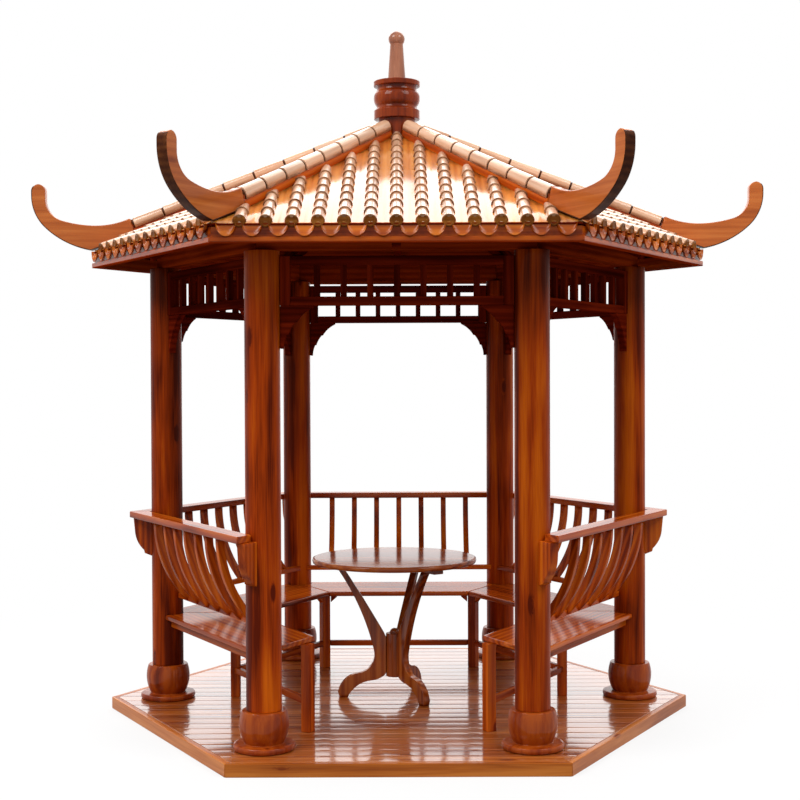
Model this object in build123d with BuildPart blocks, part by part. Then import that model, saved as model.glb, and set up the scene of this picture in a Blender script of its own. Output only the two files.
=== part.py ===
from build123d import *
import os
from math import atan, cos, degrees, radians, sin, sqrt, tan

# Six-sided garden pavilion of varnished timber: a boarded deck, six round columns, a tiled roof
# with upturned corners and a turned finial, five fixed benches and a round table.
# Millimetres. The origin is on the ground under the middle of the deck, +Z is up, two columns
# stand on the X axis, and the open bay that people enter faces -Y.
# A bay member is drawn in the bay that faces +X, a corner member on the corner that lies on +X,
# and each is then turned about Z to its own bay or corner.

# The six bays and the six corners, by the direction that each one faces, in degrees from +X
BAYS = {"front": 270, "front_right": 330, "back_right": 30,
        "back": 90, "back_left": 150, "front_left": 210}
CORNERS = {"front_left": 240, "front_right": 300, "right": 0,
           "back_right": 60, "back_left": 120, "left": 180}
BENCH_BAYS = ["front_right", "back_right", "back", "back_left", "front_left"]
HALF_BAY = radians(30)
CORNER_SHARE = cos(HALF_BAY)

# Clearance where two pieces are fitted together
joint_gap = 0.3

# Deck
deck_corner_radius = 1500
deck_height = 60
rim_board_width = 30
floor_thickness = 22
joist_width = 50
joist_count = 9

# Columns and their turned bases
column_ring_radius = 1205
column_diameter = 160
column_top = 2290
plinth_diameter = 280
plinth_thickness = 30
base_height = 176
drum_foot_diameter = 178
drum_belly_diameter = 222
drum_shoulder_diameter = 200
drum_belly_share = 0.55
plinth_rounding = 9

# Ring of beams that the columns carry
ring_beam_width = 80
ring_beam_depth = 140

# Roof: its rise from the eave corners to where the hips would meet
eave_corner_radius = 1589
roof_rise = 618
roof_board_thickness = 20
crown_corner_radius = 84
eave_board_depth = 86
eave_board_thickness = 24
eave_lip_depth = 26
eave_lip_projection = 12

# Timbers under the roof
hip_rafter_width = 60
hip_rafter_depth = 78
common_rafter_width = 40
common_rafter_depth = 100
rafter_notch = 38.5
king_post_width = 120
king_post_length = 260
king_post_chamfer = 18

# Hip covers, each a round bar carried on a board, and the upturned ends of the hips
ridge_radius = 34
ridge_lift = 51
hip_board_width = 54
horn_thickness = 50
horn_root_length = 236

# Upturned hip end, by points measured out and up from the eave corner
horn_crest = (-90, 138)
horn_neck = (0, 134)
horn_hollow = (150, 160)
horn_throat = (234, 262)
horn_tip_shoulder = 312
horn_tip_width = 72
horn_back = (236, 124)
horn_chin = (0, 6)

# Turned finial: each collar and neck by its diameter and height, from the roof upwards
pedestal_diameter = 190
pedestal_height = 91
collar_diameter = 237
collar_thickness = 45
lower_neck_diameter = 208
lower_neck_height = 22
belly_diameter = 239
belly_height = 69
upper_neck_diameter = 206
upper_neck_height = 34
cap_diameter = 240
cap_thickness = 25
cap_dome = 7
spire_foot_diameter = 92
spire_top_diameter = 58
spire_height = 184
ball_diameter = 84

# Openwork friezes between the column heads, and the scalloped brackets under them
frieze_drop = 25
frieze_depth = 220
frieze_rail_depth = 40
frieze_stile_width = 47
frieze_thickness = 45
frieze_bar_width = 28
frieze_bar_count = 7
bracket_reach = 150
bracket_drop = 192
bracket_thickness = 35
bracket_step = 7
bracket_tip = 7

# Benches
seat_height = 500
seat_thickness = 25
seat_inner_radius = 790
seat_overhang = 41
seat_edge_rounding = 7
leg_setback = 62
leg_width = 48
bearer_depth = 38
bearer_width = 24
corner_block_reach = 36
corner_block_drop = 40
corner_block_nose = 10
corner_block_thickness = 24
stretcher_width = 30
stretcher_height = 200

# Bench backs: bowed slats between a low rail inside the columns and a high rail outside them
low_rail_inset = 44
low_rail_bottom = 585
low_rail_depth = 27
low_rail_width = 30
high_rail_bottom = 998
high_rail_depth = 32
high_rail_width = 90
slat_count = 7
slat_pitch = 134
slat_width = 30
slat_depth = 35

# Corbels outside the columns, under the corners of the high rail
corbel_reach = 92
corbel_drop = 198
corbel_thickness = 42

# Table
table_offset = -22
table_diameter = 853
table_height = 788
table_top_thickness = 28
table_edge_rounding = 11
batten_length = 400
batten_width = 56
batten_thickness = 20
table_leg_directions = (64, 184, 304)
table_leg_thickness = 36
hub_diameter = 90
hub_clearance = 105
hub_height = 225
hub_knob_diameter = 52

# Table leg, by points measured out from the hub's middle and up from the deck
leg_head_reach = 302
leg_head_width = 34
leg_shin = (176, 450)
leg_waist = (108, 240)
leg_instep = (190, 125)
leg_toe = (296, 26)
leg_sole = (246, 288)
leg_arch = (206, 52)
leg_ankle = (120, 86)
leg_calf = (120, 444)
leg_waist_margins = (16, 14)

# Sizes that follow from the ones above
column_radius = column_diameter / 2
deck_face = deck_corner_radius * CORNER_SHARE
rim_inner_corner = deck_corner_radius - rim_board_width / CORNER_SHARE
column_face = column_ring_radius * CORNER_SHARE
clear_span = column_ring_radius - column_diameter
column_foot = deck_height + base_height
ring_beam_top = column_top + ring_beam_depth
beam_inner_face = column_face - ring_beam_width / 2
beam_outer_face = column_face + ring_beam_width / 2
hip_rise = roof_rise / eave_corner_radius
face_rise = hip_rise / CORNER_SHARE
hip_pitch = degrees(atan(hip_rise))
board_drop = roof_board_thickness * sqrt(1 + face_rise ** 2)
eave_height = (ring_beam_top + common_rafter_depth - rafter_notch + board_drop
               - (eave_corner_radius * CORNER_SHARE - beam_outer_face) * face_rise)
eave_face = eave_corner_radius * CORNER_SHARE - eave_lip_projection
crown_face = crown_corner_radius * CORNER_SHARE
seat_inner_face = seat_inner_radius * CORNER_SHARE
seat_outer_face = column_face + seat_overhang
leg_ring_radius = seat_inner_radius + leg_setback
leg_face = leg_ring_radius * CORNER_SHARE
seat_bottom = seat_height - seat_thickness
leg_clearance = leg_width / 2 + joint_gap
tool_reach = 2 * eave_corner_radius


def roof_height(hip_run):
    """Height of the roof's upper surface over a point hip_run from the middle along a hip."""
    return eave_height + (eave_corner_radius - hip_run) * hip_rise


def roof_height_in_bay(face_run):
    """Height of the roof's upper surface face_run from the middle, square to an eave."""
    return roof_height(face_run / CORNER_SHARE)


def upright_plane(run, height):
    """Upright plane through the X axis, with its own origin run out along X at a height."""
    return Plane(origin=(run, 0, height), x_dir=(1, 0, 0), z_dir=(0, -1, 0))


def bay_wedge(inset):
    """Space between the radial planes beside the +X bay, each moved in by inset."""
    half_opening = (tool_reach - 2 * inset) * tan(HALF_BAY)
    with BuildPart() as wedge:
        with BuildSketch():
            with BuildLine():
                Polyline((2 * inset, 0), (tool_reach, half_opening),
                         (tool_reach, -half_opening), close=True)
            make_face()
        extrude(amount=tool_reach)
    return wedge.part


mitre_wedge = bay_wedge(joint_gap / 2)
leg_wedge = bay_wedge(leg_clearance)

# Everything under the roof's upper surface, for cutting what sits on it
with BuildPart() as roof_form:
    with BuildSketch(Plane.XY.offset(roof_height(tool_reach) + joint_gap)):
        RegularPolygon(tool_reach, 6)
    with BuildSketch(Plane.XY.offset(roof_height(crown_corner_radius) + joint_gap)):
        RegularPolygon(crown_corner_radius, 6)
    loft()

# The six columns as a tool, for the notches and saddles of what fits round them
with BuildPart() as column_space:
    with BuildSketch():
        with PolarLocations(column_ring_radius, 6):
            Circle(column_radius + joint_gap)
    extrude(amount=column_top)

os.makedirs("parts", exist_ok=True)

# Deck frame: six mitred rim boards and the joists between them
with BuildPart() as rim_board:
    with BuildSketch(Plane.XZ):
        with Locations((deck_face, 0)):
            Rectangle(rim_board_width, deck_height, align=(Align.MAX, Align.MIN))
    extrude(amount=deck_corner_radius, both=True)
    add(mitre_wedge, mode=Mode.INTERSECT)

with BuildPart() as deck_frame:
    with PolarLocations(0, 6, start_angle=30):
        add(rim_board.part)
    with BuildSketch():
        with GridLocations(2 * rim_inner_corner / joist_count, 0, joist_count, 1):
            Rectangle(joist_width, 2 * rim_inner_corner)
        RegularPolygon(rim_inner_corner - joint_gap, 6, mode=Mode.INTERSECT)
    extrude(amount=deck_height - floor_thickness)
deck_frame.part.label = "deck_frame"
export_step(deck_frame.part, "parts/deck_frame.step")

# Deck floor, let in between the rim boards
with BuildPart() as deck_floor:
    with BuildSketch(Plane.XY.offset(deck_height - floor_thickness)):
        RegularPolygon(rim_inner_corner - joint_gap, 6)
    extrude(amount=floor_thickness)
deck_floor.part.label = "deck_floor"
export_step(deck_floor.part, "parts/deck_floor.step")

# Column bases: a plinth disc and a full-bellied drum, turned in one
belly_height_on_drum = plinth_thickness + (base_height - plinth_thickness) * drum_belly_share
with BuildPart() as turned_base:
    with BuildSketch(Plane.XZ):
        with BuildLine():
            Polyline((0, base_height), (0, 0), (plinth_diameter / 2, 0),
                     (plinth_diameter / 2, plinth_thickness),
                     (drum_foot_diameter / 2, plinth_thickness))
            ThreePointArc((drum_foot_diameter / 2, plinth_thickness),
                          (drum_belly_diameter / 2, belly_height_on_drum),
                          (drum_shoulder_diameter / 2, base_height))
            Line((drum_shoulder_diameter / 2, base_height), (0, base_height))
        make_face()
        plinth_edge = vertices().group_by(Axis.X)[-1].sort_by(Axis.Y)[-1]
        fillet(plinth_edge, radius=plinth_rounding)
    revolve(axis=Axis.Z)

with BuildPart() as column_bases:
    with Locations((0, 0, deck_height)):
        with PolarLocations(column_ring_radius, 6):
            add(turned_base.part)
column_bases.part.label = "column_bases"
export_step(column_bases.part, "parts/column_bases.step")

# Columns, standing on the drums
for corner, direction in CORNERS.items():
    with BuildPart() as column:
        with BuildSketch(Plane.XY.offset(column_foot)):
            with PolarLocations(column_ring_radius, 1, start_angle=direction):
                Circle(column_radius)
        extrude(amount=column_top - column_foot)
    column.part.label = f"column_{corner}"
    export_step(column.part, f"parts/column_{corner}.step")

# Ring beam: six mitred beams on the column heads
with BuildPart() as beam:
    with BuildSketch(Plane.XZ):
        with Locations((column_face, column_top)):
            Rectangle(ring_beam_width, ring_beam_depth, align=(Align.CENTER, Align.MIN))
    extrude(amount=column_ring_radius, both=True)
    add(mitre_wedge, mode=Mode.INTERSECT)

with BuildPart() as ring_beam:
    with PolarLocations(0, 6, start_angle=30):
        add(beam.part)
ring_beam.part.label = "ring_beam"
export_step(ring_beam.part, "parts/ring_beam.step")

# Roof faces: six sloping panels, mitred on the hips
with BuildPart() as roof_panel:
    with BuildSketch(Plane.XZ):
        with BuildLine():
            Polyline((eave_face, roof_height_in_bay(eave_face)),
                     (crown_face, roof_height_in_bay(crown_face)),
                     (crown_face, roof_height_in_bay(crown_face) - board_drop),
                     (eave_face, roof_height_in_bay(eave_face) - board_drop), close=True)
        make_face()
    extrude(amount=eave_corner_radius, both=True)
    add(mitre_wedge, mode=Mode.INTERSECT)

for bay, direction in BAYS.items():
    with BuildPart() as roof_face:
        with PolarLocations(0, 1, start_angle=direction):
            add(roof_panel.part)
    roof_face.part.label = f"roof_{bay}"
    export_step(roof_face.part, f"parts/roof_{bay}.step")

# Eave boards under the roof's edge, with a lip along the bottom that stands proud
eave_bottom = eave_height - eave_board_depth
eave_back = eave_face - eave_board_thickness
with BuildPart() as eave_board:
    with BuildSketch(Plane.XZ):
        with BuildLine():
            Polyline((eave_back, eave_bottom), (eave_face + eave_lip_projection, eave_bottom),
                     (eave_face + eave_lip_projection, eave_bottom + eave_lip_depth),
                     (eave_face, eave_bottom + eave_lip_depth),
                     (eave_face, roof_height_in_bay(eave_face) - board_drop - joint_gap),
                     (eave_back, roof_height_in_bay(eave_back) - board_drop - joint_gap),
                     close=True)
        make_face()
    extrude(amount=eave_corner_radius, both=True)
    add(mitre_wedge, mode=Mode.INTERSECT)

with BuildPart() as eave_boards:
    with PolarLocations(0, 6, start_angle=30):
        add(eave_board.part)
eave_boards.part.label = "eave_boards"
export_step(eave_boards.part, "parts/eave_boards.step")

# Hip rafter: dropped so that its top edges meet the roof boards, notched over the ring beam,
# and butted between the king post and the eave boards
hip_top_drop = board_drop + hip_rafter_width / 2 * tan(HALF_BAY) * hip_rise + joint_gap
hip_inner_end = king_post_width / 2 + joint_gap
hip_outer_end = (eave_back - hip_rafter_width / 2 * sin(HALF_BAY)) / CORNER_SHARE - joint_gap
hip_notch_start = (beam_inner_face - hip_rafter_width / 2 * sin(HALF_BAY)) / CORNER_SHARE
hip_notch_end = beam_outer_face / CORNER_SHARE
with BuildPart() as hip_rafter:
    with BuildSketch(Plane.XZ):
        with BuildLine():
            Polyline((hip_outer_end, roof_height(hip_outer_end) - hip_top_drop),
                     (hip_inner_end, roof_height(hip_inner_end) - hip_top_drop),
                     (hip_inner_end, roof_height(hip_inner_end) - hip_top_drop - hip_rafter_depth),
                     (hip_outer_end, roof_height(hip_outer_end) - hip_top_drop - hip_rafter_depth),
                     close=True)
        make_face()
        with Locations((hip_notch_start - joint_gap, ring_beam_top)):
            Rectangle(hip_notch_end - hip_notch_start + 2 * joint_gap, ring_beam_depth,
                      align=(Align.MIN, Align.MAX), mode=Mode.SUBTRACT)
    extrude(amount=hip_rafter_width / 2, both=True)

# Common rafter up the middle of each roof face, from the eave to between two hip rafters
common_top_drop = board_drop + joint_gap
common_inner_end = ((common_rafter_width / 2 + joint_gap) / tan(HALF_BAY)
                    + hip_rafter_width / 2 / sin(HALF_BAY))
common_outer_end = eave_back - joint_gap
with BuildPart() as common_rafter:
    with BuildSketch(Plane.XZ):
        with BuildLine():
            Polyline((common_outer_end, roof_height_in_bay(common_outer_end) - common_top_drop),
                     (common_inner_end, roof_height_in_bay(common_inner_end) - common_top_drop),
                     (common_inner_end, roof_height_in_bay(common_inner_end)
                      - common_top_drop - common_rafter_depth),
                     (common_outer_end, roof_height_in_bay(common_outer_end)
                      - common_top_drop - common_rafter_depth), close=True)
        make_face()
        with Locations((beam_inner_face - joint_gap, ring_beam_top)):
            Rectangle(ring_beam_width + 2 * joint_gap, ring_beam_depth,
                      align=(Align.MIN, Align.MAX), mode=Mode.SUBTRACT)
    extrude(amount=common_rafter_width / 2, both=True)

with BuildPart() as rafters:
    with PolarLocations(0, 6):
        add(hip_rafter.part)
    with PolarLocations(0, 6, start_angle=30):
        add(common_rafter.part)
rafters.part.label = "rafters"
export_step(rafters.part, "parts/rafters.step")

# King post: a six-sided post with a flat to each hip rafter, its head level with the crown
with BuildPart() as king_post:
    with BuildSketch(Plane.XY.offset(roof_height(crown_corner_radius) - king_post_length)):
        RegularPolygon(king_post_width / 2, 6, major_radius=False, rotation=30)
    extrude(amount=king_post_length)
    chamfer(faces().sort_by(Axis.Z)[0].edges(), length=king_post_chamfer)
king_post.part.label = "king_post"
export_step(king_post.part, "parts/king_post.step")

# Hip covers: a board up each hip with a round bar along its top, from the upturned end to the
# foot of the finial
horn_root = eave_corner_radius - horn_root_length
ridge_foot = horn_root - joint_gap
ridge_head = pedestal_diameter / 2 + joint_gap
ridge_length = (ridge_foot - ridge_head) / cos(radians(hip_pitch))
up_the_hip = Plane(origin=(ridge_foot, 0, roof_height(ridge_foot)), x_dir=(0, -1, 0),
                   z_dir=(-1, 0, hip_rise))
with BuildPart() as hip_cover:
    with BuildSketch(up_the_hip):
        with Locations((0, ridge_lift)):
            Circle(ridge_radius)
            Rectangle(hip_board_width, 2 * ridge_lift, align=(Align.CENTER, Align.MAX))
    extrude(amount=ridge_length)
    add(roof_form.part, mode=Mode.SUBTRACT)

with BuildPart() as hip_covers:
    with PolarLocations(0, 6):
        add(hip_cover.part)
hip_covers.part.label = "hip_covers"
export_step(hip_covers.part, "parts/hip_covers.step")

# Upturned hip end: a thick board on edge that leaves the hip, sweeps out past the eave corner
# and curls up to a rounded tip. Its points are measured from the eave corner.
horn_root_rise = (ridge_lift + ridge_radius) * cos(radians(hip_pitch))
horn_lean = horn_root_rise * hip_rise
tip_front = (horn_throat[0], horn_tip_shoulder)
tip_back = (horn_throat[0] + horn_tip_width, horn_tip_shoulder)
horn_nape = (tip_back[0], horn_tip_shoulder - horn_tip_width / 3)
with BuildPart() as horn:
    with BuildSketch(upright_plane(eave_corner_radius, eave_height)):
        with BuildLine():
            root_foot = (-horn_root_length, horn_root_length * hip_rise - ridge_radius)
            root_hip = (-horn_root_length, horn_root_length * hip_rise)
            root_top = (-horn_root_length + horn_lean,
                        horn_root_length * hip_rise + horn_root_rise)
            Polyline((0, -ridge_radius), root_foot, root_hip, root_top)
            saddle = ThreePointArc(root_top, horn_crest, horn_neck)
            hollow = TangentArc(horn_neck, horn_hollow, tangent=saddle % 1)
            TangentArc(horn_hollow, horn_throat, tangent=hollow % 1)
            Line(horn_throat, tip_front)
            RadiusArc(tip_front, tip_back, horn_tip_width / 2)
            Line(tip_back, horn_nape)
            back = TangentArc(horn_nape, horn_back, tangent=(0, -1))
            TangentArc(horn_back, horn_chin, tangent=back % 1)
            Line(horn_chin, (0, -ridge_radius))
        make_face()
    extrude(amount=horn_thickness / 2, both=True)
    add(roof_form.part, mode=Mode.SUBTRACT)

with BuildPart() as upturned_eaves:
    with PolarLocations(0, 6):
        add(horn.part)
upturned_eaves.part.label = "upturned_eaves"
export_step(upturned_eaves.part, "parts/upturned_eaves.step")

# Finial: turned in one piece, its pedestal hollowed underneath to sit on the crown of the roof.
# A cove runs from the collar up to the belly, and another from the belly up to the domed cap.
pedestal_foot = roof_height(2 * crown_corner_radius)
collar_foot = roof_height(crown_corner_radius) + pedestal_height
collar_top = collar_foot + collar_thickness
belly_foot = collar_top + lower_neck_height
belly_head = belly_foot + belly_height
cap_foot = belly_head + upper_neck_height
cap_rim = cap_foot + cap_thickness
spire_foot = cap_rim + cap_dome
spire_top = spire_foot + spire_height
ball_seat = sqrt((ball_diameter / 2) ** 2 - (spire_top_diameter / 2) ** 2)
ball_top = spire_top + ball_seat + ball_diameter / 2
with BuildPart() as finial:
    with BuildSketch(Plane.XZ):
        with BuildLine():
            Polyline((0, pedestal_foot), (pedestal_diameter / 2, pedestal_foot),
                     (pedestal_diameter / 2, collar_foot), (collar_diameter / 2, collar_foot),
                     (collar_diameter / 2, collar_top))
            RadiusArc((collar_diameter / 2, collar_top), (lower_neck_diameter / 2, belly_foot),
                      lower_neck_height)
            ThreePointArc((lower_neck_diameter / 2, belly_foot),
                          (belly_diameter / 2, (belly_foot + belly_head) / 2),
                          (belly_diameter / 2 - cap_dome, belly_head))
            RadiusArc((belly_diameter / 2 - cap_dome, belly_head),
                      (upper_neck_diameter / 2, cap_foot), upper_neck_height)
            Polyline((upper_neck_diameter / 2, cap_foot), (cap_diameter / 2, cap_foot),
                     (cap_diameter / 2, cap_rim))
            RadiusArc((cap_diameter / 2, cap_rim), (spire_foot_diameter / 2, spire_foot),
                      -cap_diameter)
            Line((spire_foot_diameter / 2, spire_foot), (spire_top_diameter / 2, spire_top))
            ThreePointArc((spire_top_diameter / 2, spire_top),
                          (ball_diameter / 2, spire_top + ball_seat), (0, ball_top))
            Line((0, ball_top), (0, pedestal_foot))
        make_face()
    revolve(axis=Axis.Z)
    add(roof_form.part, mode=Mode.SUBTRACT)
finial.part.label = "finial"
export_step(finial.part, "parts/finial.step")

# Frieze: rails, stiles and upright bars, framed up between two column heads
frieze_top = column_top - frieze_drop
frieze_bottom = frieze_top - frieze_depth
frieze_length = clear_span - 2 * joint_gap
bar_pitch = (frieze_length - 2 * frieze_stile_width) / (frieze_bar_count + 1)
with BuildPart() as frieze_panel:
    with BuildSketch(Plane.YZ.offset(column_face - frieze_thickness / 2)):
        with Locations((0, (frieze_top + frieze_bottom) / 2)):
            Rectangle(frieze_length, frieze_depth)
            Rectangle(frieze_length - 2 * frieze_stile_width,
                      frieze_depth - 2 * frieze_rail_depth, mode=Mode.SUBTRACT)
    extrude(amount=frieze_thickness)
    with BuildSketch(Plane.YZ.offset(column_face - frieze_bar_width / 2)):
        with Locations((0, (frieze_top + frieze_bottom) / 2)):
            with GridLocations(bar_pitch, 0, frieze_bar_count, 1):
                Rectangle(frieze_bar_width, frieze_depth - 2 * frieze_rail_depth)
    extrude(amount=frieze_bar_width)

for bay, direction in BAYS.items():
    with BuildPart() as frieze:
        with PolarLocations(0, 1, start_angle=direction):
            add(frieze_panel.part)
    frieze.part.label = f"frieze_{bay}"
    export_step(frieze.part, f"parts/frieze_{bay}.step")

# Corner brackets: three scallops that step down from the frieze to the column
bracket_edge = clear_span / 2 - joint_gap


def bracket_point(out, down):
    """Point of a bracket's outline beside the +Y column, as shares of its reach and its drop."""
    return (bracket_edge - out * bracket_reach, frieze_bottom - down * bracket_drop)


scallop_ends = [bracket_point(0.5, 0.38), bracket_point(0.24, 0.68), bracket_point(0.1, 1)]
scallop_starts = [bracket_point(1, bracket_tip / bracket_drop)]
scallop_starts += [(end[0] + bracket_step, end[1]) for end in scallop_ends[:-1]]
with BuildPart() as bracket_pair:
    with BuildSketch(Plane.YZ.offset(column_face - bracket_thickness / 2)):
        with BuildLine():
            Polyline(scallop_ends[-1], bracket_point(0, 1), bracket_point(0, 0),
                     bracket_point(1, 0), scallop_starts[0])
            for start, end in zip(scallop_starts, scallop_ends):
                RadiusArc(start, end, -bracket_reach)
            for end, start in zip(scallop_ends, scallop_starts[1:]):
                Line(end, start)
        make_face()
    extrude(amount=bracket_thickness)
    mirror(about=Plane.XZ)

with BuildPart() as corner_brackets:
    with PolarLocations(0, 6, start_angle=30):
        add(bracket_pair.part)
corner_brackets.part.label = "corner_brackets"
export_step(corner_brackets.part, "parts/corner_brackets.step")

# Bench seats: one wide board to a bay, mitred to its neighbours and notched round the columns
with BuildPart() as seat_board:
    with BuildSketch(Plane.XZ):
        with Locations((seat_inner_face, seat_bottom)):
            Rectangle(seat_outer_face - seat_inner_face, seat_thickness,
                      align=(Align.MIN, Align.MIN))
        fillet(vertices().group_by(Axis.X)[0], radius=seat_edge_rounding)
    extrude(amount=column_ring_radius, both=True)
    add(mitre_wedge, mode=Mode.INTERSECT)
    with PolarLocations(0, 1, start_angle=-30):
        add(column_space.part, mode=Mode.SUBTRACT)

for bay in BENCH_BAYS:
    with BuildPart() as bench_seat:
        with PolarLocations(0, 1, start_angle=BAYS[bay]):
            add(seat_board.part)
    bench_seat.part.label = f"bench_seat_{bay}"
    export_step(bench_seat.part, f"parts/bench_seat_{bay}.step")

# Bench legs: six square posts, one on each mitre between the seats
with BuildPart() as bench_legs:
    with BuildSketch(Plane.XY.offset(deck_height)):
        with PolarLocations(leg_ring_radius, 6):
            Rectangle(leg_width, leg_width)
    extrude(amount=seat_bottom - deck_height)
bench_legs.part.label = "bench_legs"
export_step(bench_legs.part, "parts/bench_legs.step")

# Bench rails: a stretcher between the legs, a bearer between the columns, and a small block in
# each corner between a leg and the seat
block_start = ((leg_face - corner_block_thickness / 2) * tan(HALF_BAY)
               - leg_clearance / CORNER_SHARE)
block_nose = block_start - corner_block_reach
block_foot = seat_bottom - corner_block_drop
with BuildPart() as leg_rails:
    with BuildSketch(Plane.XZ):
        with Locations((leg_face, stretcher_height)):
            Rectangle(stretcher_width, stretcher_width)
    extrude(amount=leg_ring_radius, both=True)
    with BuildSketch(Plane.YZ.offset(leg_face - corner_block_thickness / 2)):
        with BuildLine():
            Polyline((leg_ring_radius, seat_bottom), (block_nose, seat_bottom),
                     (block_nose, seat_bottom - corner_block_nose), (block_start, block_foot),
                     (leg_ring_radius, block_foot), close=True)
        make_face()
        mirror(about=Plane.YZ)
    extrude(amount=corner_block_thickness)
    add(leg_wedge, mode=Mode.INTERSECT)

with BuildPart() as column_rail:
    with BuildSketch(Plane.YZ.offset(column_face - bearer_width / 2)):
        with Locations((0, seat_bottom)):
            Rectangle(frieze_length, bearer_depth, align=(Align.CENTER, Align.MAX))
    extrude(amount=bearer_width)

with BuildPart() as bench_rails:
    for bay in BENCH_BAYS:
        with PolarLocations(0, 1, start_angle=BAYS[bay]):
            add(leg_rails.part)
            add(column_rail.part)
bench_rails.part.label = "bench_rails"
export_step(bench_rails.part, "parts/bench_rails.step")

# Bench back: the slats follow one arc that leans out from the low rail and ends plumb under
# the high rail, which runs round the outside of the columns
low_rail_face = column_face - low_rail_inset
high_rail_inner_face = column_face + column_radius + joint_gap
slat_top_face = high_rail_inner_face + high_rail_width / 2
slat_rise = high_rail_bottom - low_rail_bottom - low_rail_depth / 2
slat_lean = slat_top_face - low_rail_face
slat_radius = (slat_rise ** 2 + slat_lean ** 2) / (2 * slat_lean)
slat_centre = (slat_top_face - slat_radius, high_rail_bottom)
slat_sweep = degrees(atan(slat_rise / (slat_radius - slat_lean)))
with BuildPart() as slat:
    with BuildSketch(Plane.XZ):
        with BuildLine():
            outer_arc = CenterArc(slat_centre, slat_radius + slat_depth / 2, 0, -slat_sweep)
            inner_arc = CenterArc(slat_centre, slat_radius - slat_depth / 2, 0, -slat_sweep)
            Line(outer_arc @ 0, inner_arc @ 0)
            Line(outer_arc @ 1, inner_arc @ 1)
        make_face()
    extrude(amount=slat_width / 2, both=True)

with BuildPart() as back_frame:
    with GridLocations(0, slat_pitch, 1, slat_count):
        add(slat.part)
    with BuildSketch(Plane.XZ):
        with Locations((low_rail_face, low_rail_bottom)):
            Rectangle(low_rail_width, low_rail_depth, align=(Align.CENTER, Align.MIN))
    extrude(amount=column_ring_radius / 2, both=True)
    with PolarLocations(0, 1, start_angle=-30):
        add(column_space.part, mode=Mode.SUBTRACT)
    with BuildSketch(Plane.XZ):
        with Locations((high_rail_inner_face, high_rail_bottom)):
            Rectangle(high_rail_width, high_rail_depth, align=(Align.MIN, Align.MIN))
    extrude(amount=column_ring_radius, both=True)
    add(mitre_wedge, mode=Mode.INTERSECT)

for bay in BENCH_BAYS:
    with BuildPart() as bench_back:
        with PolarLocations(0, 1, start_angle=BAYS[bay]):
            add(back_frame.part)
    bench_back.part.label = f"bench_back_{bay}"
    export_step(bench_back.part, f"parts/bench_back_{bay}.step")

# Corbels, saddled to the outside of the columns: a nose, a belly and a small step at the foot
def corbel_point(out, down):
    """Point of the corbel's outline, as shares of its reach and its drop."""
    return (column_radius + out * corbel_reach, -down * corbel_drop)


corbel_nose = corbel_point(0.93, 0.33)
corbel_chin = corbel_point(0.42, 0.85)
with BuildPart() as corbel:
    with BuildSketch(upright_plane(column_ring_radius, high_rail_bottom)):
        with BuildLine():
            Polyline(corbel_point(0, 1), corbel_point(-0.25, 1), corbel_point(-0.25, 0),
                     corbel_point(1, 0), corbel_nose)
            ThreePointArc(corbel_nose, corbel_point(0.78, 0.62), corbel_chin)
            Polyline(corbel_chin, corbel_point(0.38, 0.93), corbel_point(0, 1))
        make_face()
    extrude(amount=corbel_thickness / 2, both=True)
    add(column_space.part, mode=Mode.SUBTRACT)

with BuildPart() as back_corbels:
    with PolarLocations(0, 6):
        add(corbel.part)
back_corbels.part.label = "back_corbels"
export_step(back_corbels.part, "parts/back_corbels.step")

# Table top: a round board with a rounded edge, on three battens that run out from its middle
batten_bottom = table_height - table_top_thickness - batten_thickness
with BuildPart() as table_top:
    with BuildSketch(Plane.XY.offset(table_height - table_top_thickness)):
        with Locations((table_offset, 0)):
            Circle(table_diameter / 2)
    extrude(amount=table_top_thickness)
    fillet(edges(), radius=table_edge_rounding)
    with BuildSketch(Plane.XY.offset(batten_bottom)):
        for direction in table_leg_directions:
            with Locations(Location((table_offset, 0), direction)):
                Rectangle(batten_length, batten_width, align=(Align.MIN, Align.CENTER))
    extrude(amount=batten_thickness)
table_top.part.label = "table_top"
export_step(table_top.part, "parts/table_top.step")

# Table leg: a bowed board whose waist stands against the hub, splayed out above to the batten
# and below to a curled foot
hub_edge = hub_diameter / 2 + joint_gap
leg_head_front = (leg_head_reach, batten_bottom - deck_height)
leg_head_back = (leg_head_reach - leg_head_width, batten_bottom - deck_height)
waist_foot = (hub_edge, hub_clearance + leg_waist_margins[0])
waist_head = (hub_edge, hub_clearance + hub_height - leg_waist_margins[1])
heel = (leg_sole[0], 0)
with BuildPart() as leg_board:
    with BuildSketch(upright_plane(0, deck_height)):
        with BuildLine():
            Line(leg_head_back, leg_head_front)
            upper_front = ThreePointArc(leg_head_front, leg_shin, leg_waist)
            lower_front = TangentArc(leg_waist, leg_instep, tangent=upper_front % 1)
            TangentArc(leg_instep, leg_toe, tangent=lower_front % 1)
            Polyline(leg_toe, (leg_sole[1], 0), heel)
            arch = ThreePointArc(heel, leg_arch, leg_ankle)
            TangentArc(leg_ankle, waist_foot, tangent=arch % 1)
            Line(waist_foot, waist_head)
            ThreePointArc(waist_head, leg_calf, leg_head_back)
        make_face()
    extrude(amount=table_leg_thickness / 2, both=True)

with BuildPart() as table_legs:
    for direction in table_leg_directions:
        with Locations(Location((table_offset, 0, 0), direction)):
            add(leg_board.part)
table_legs.part.label = "table_legs"
export_step(table_legs.part, "parts/table_legs.step")

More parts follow.
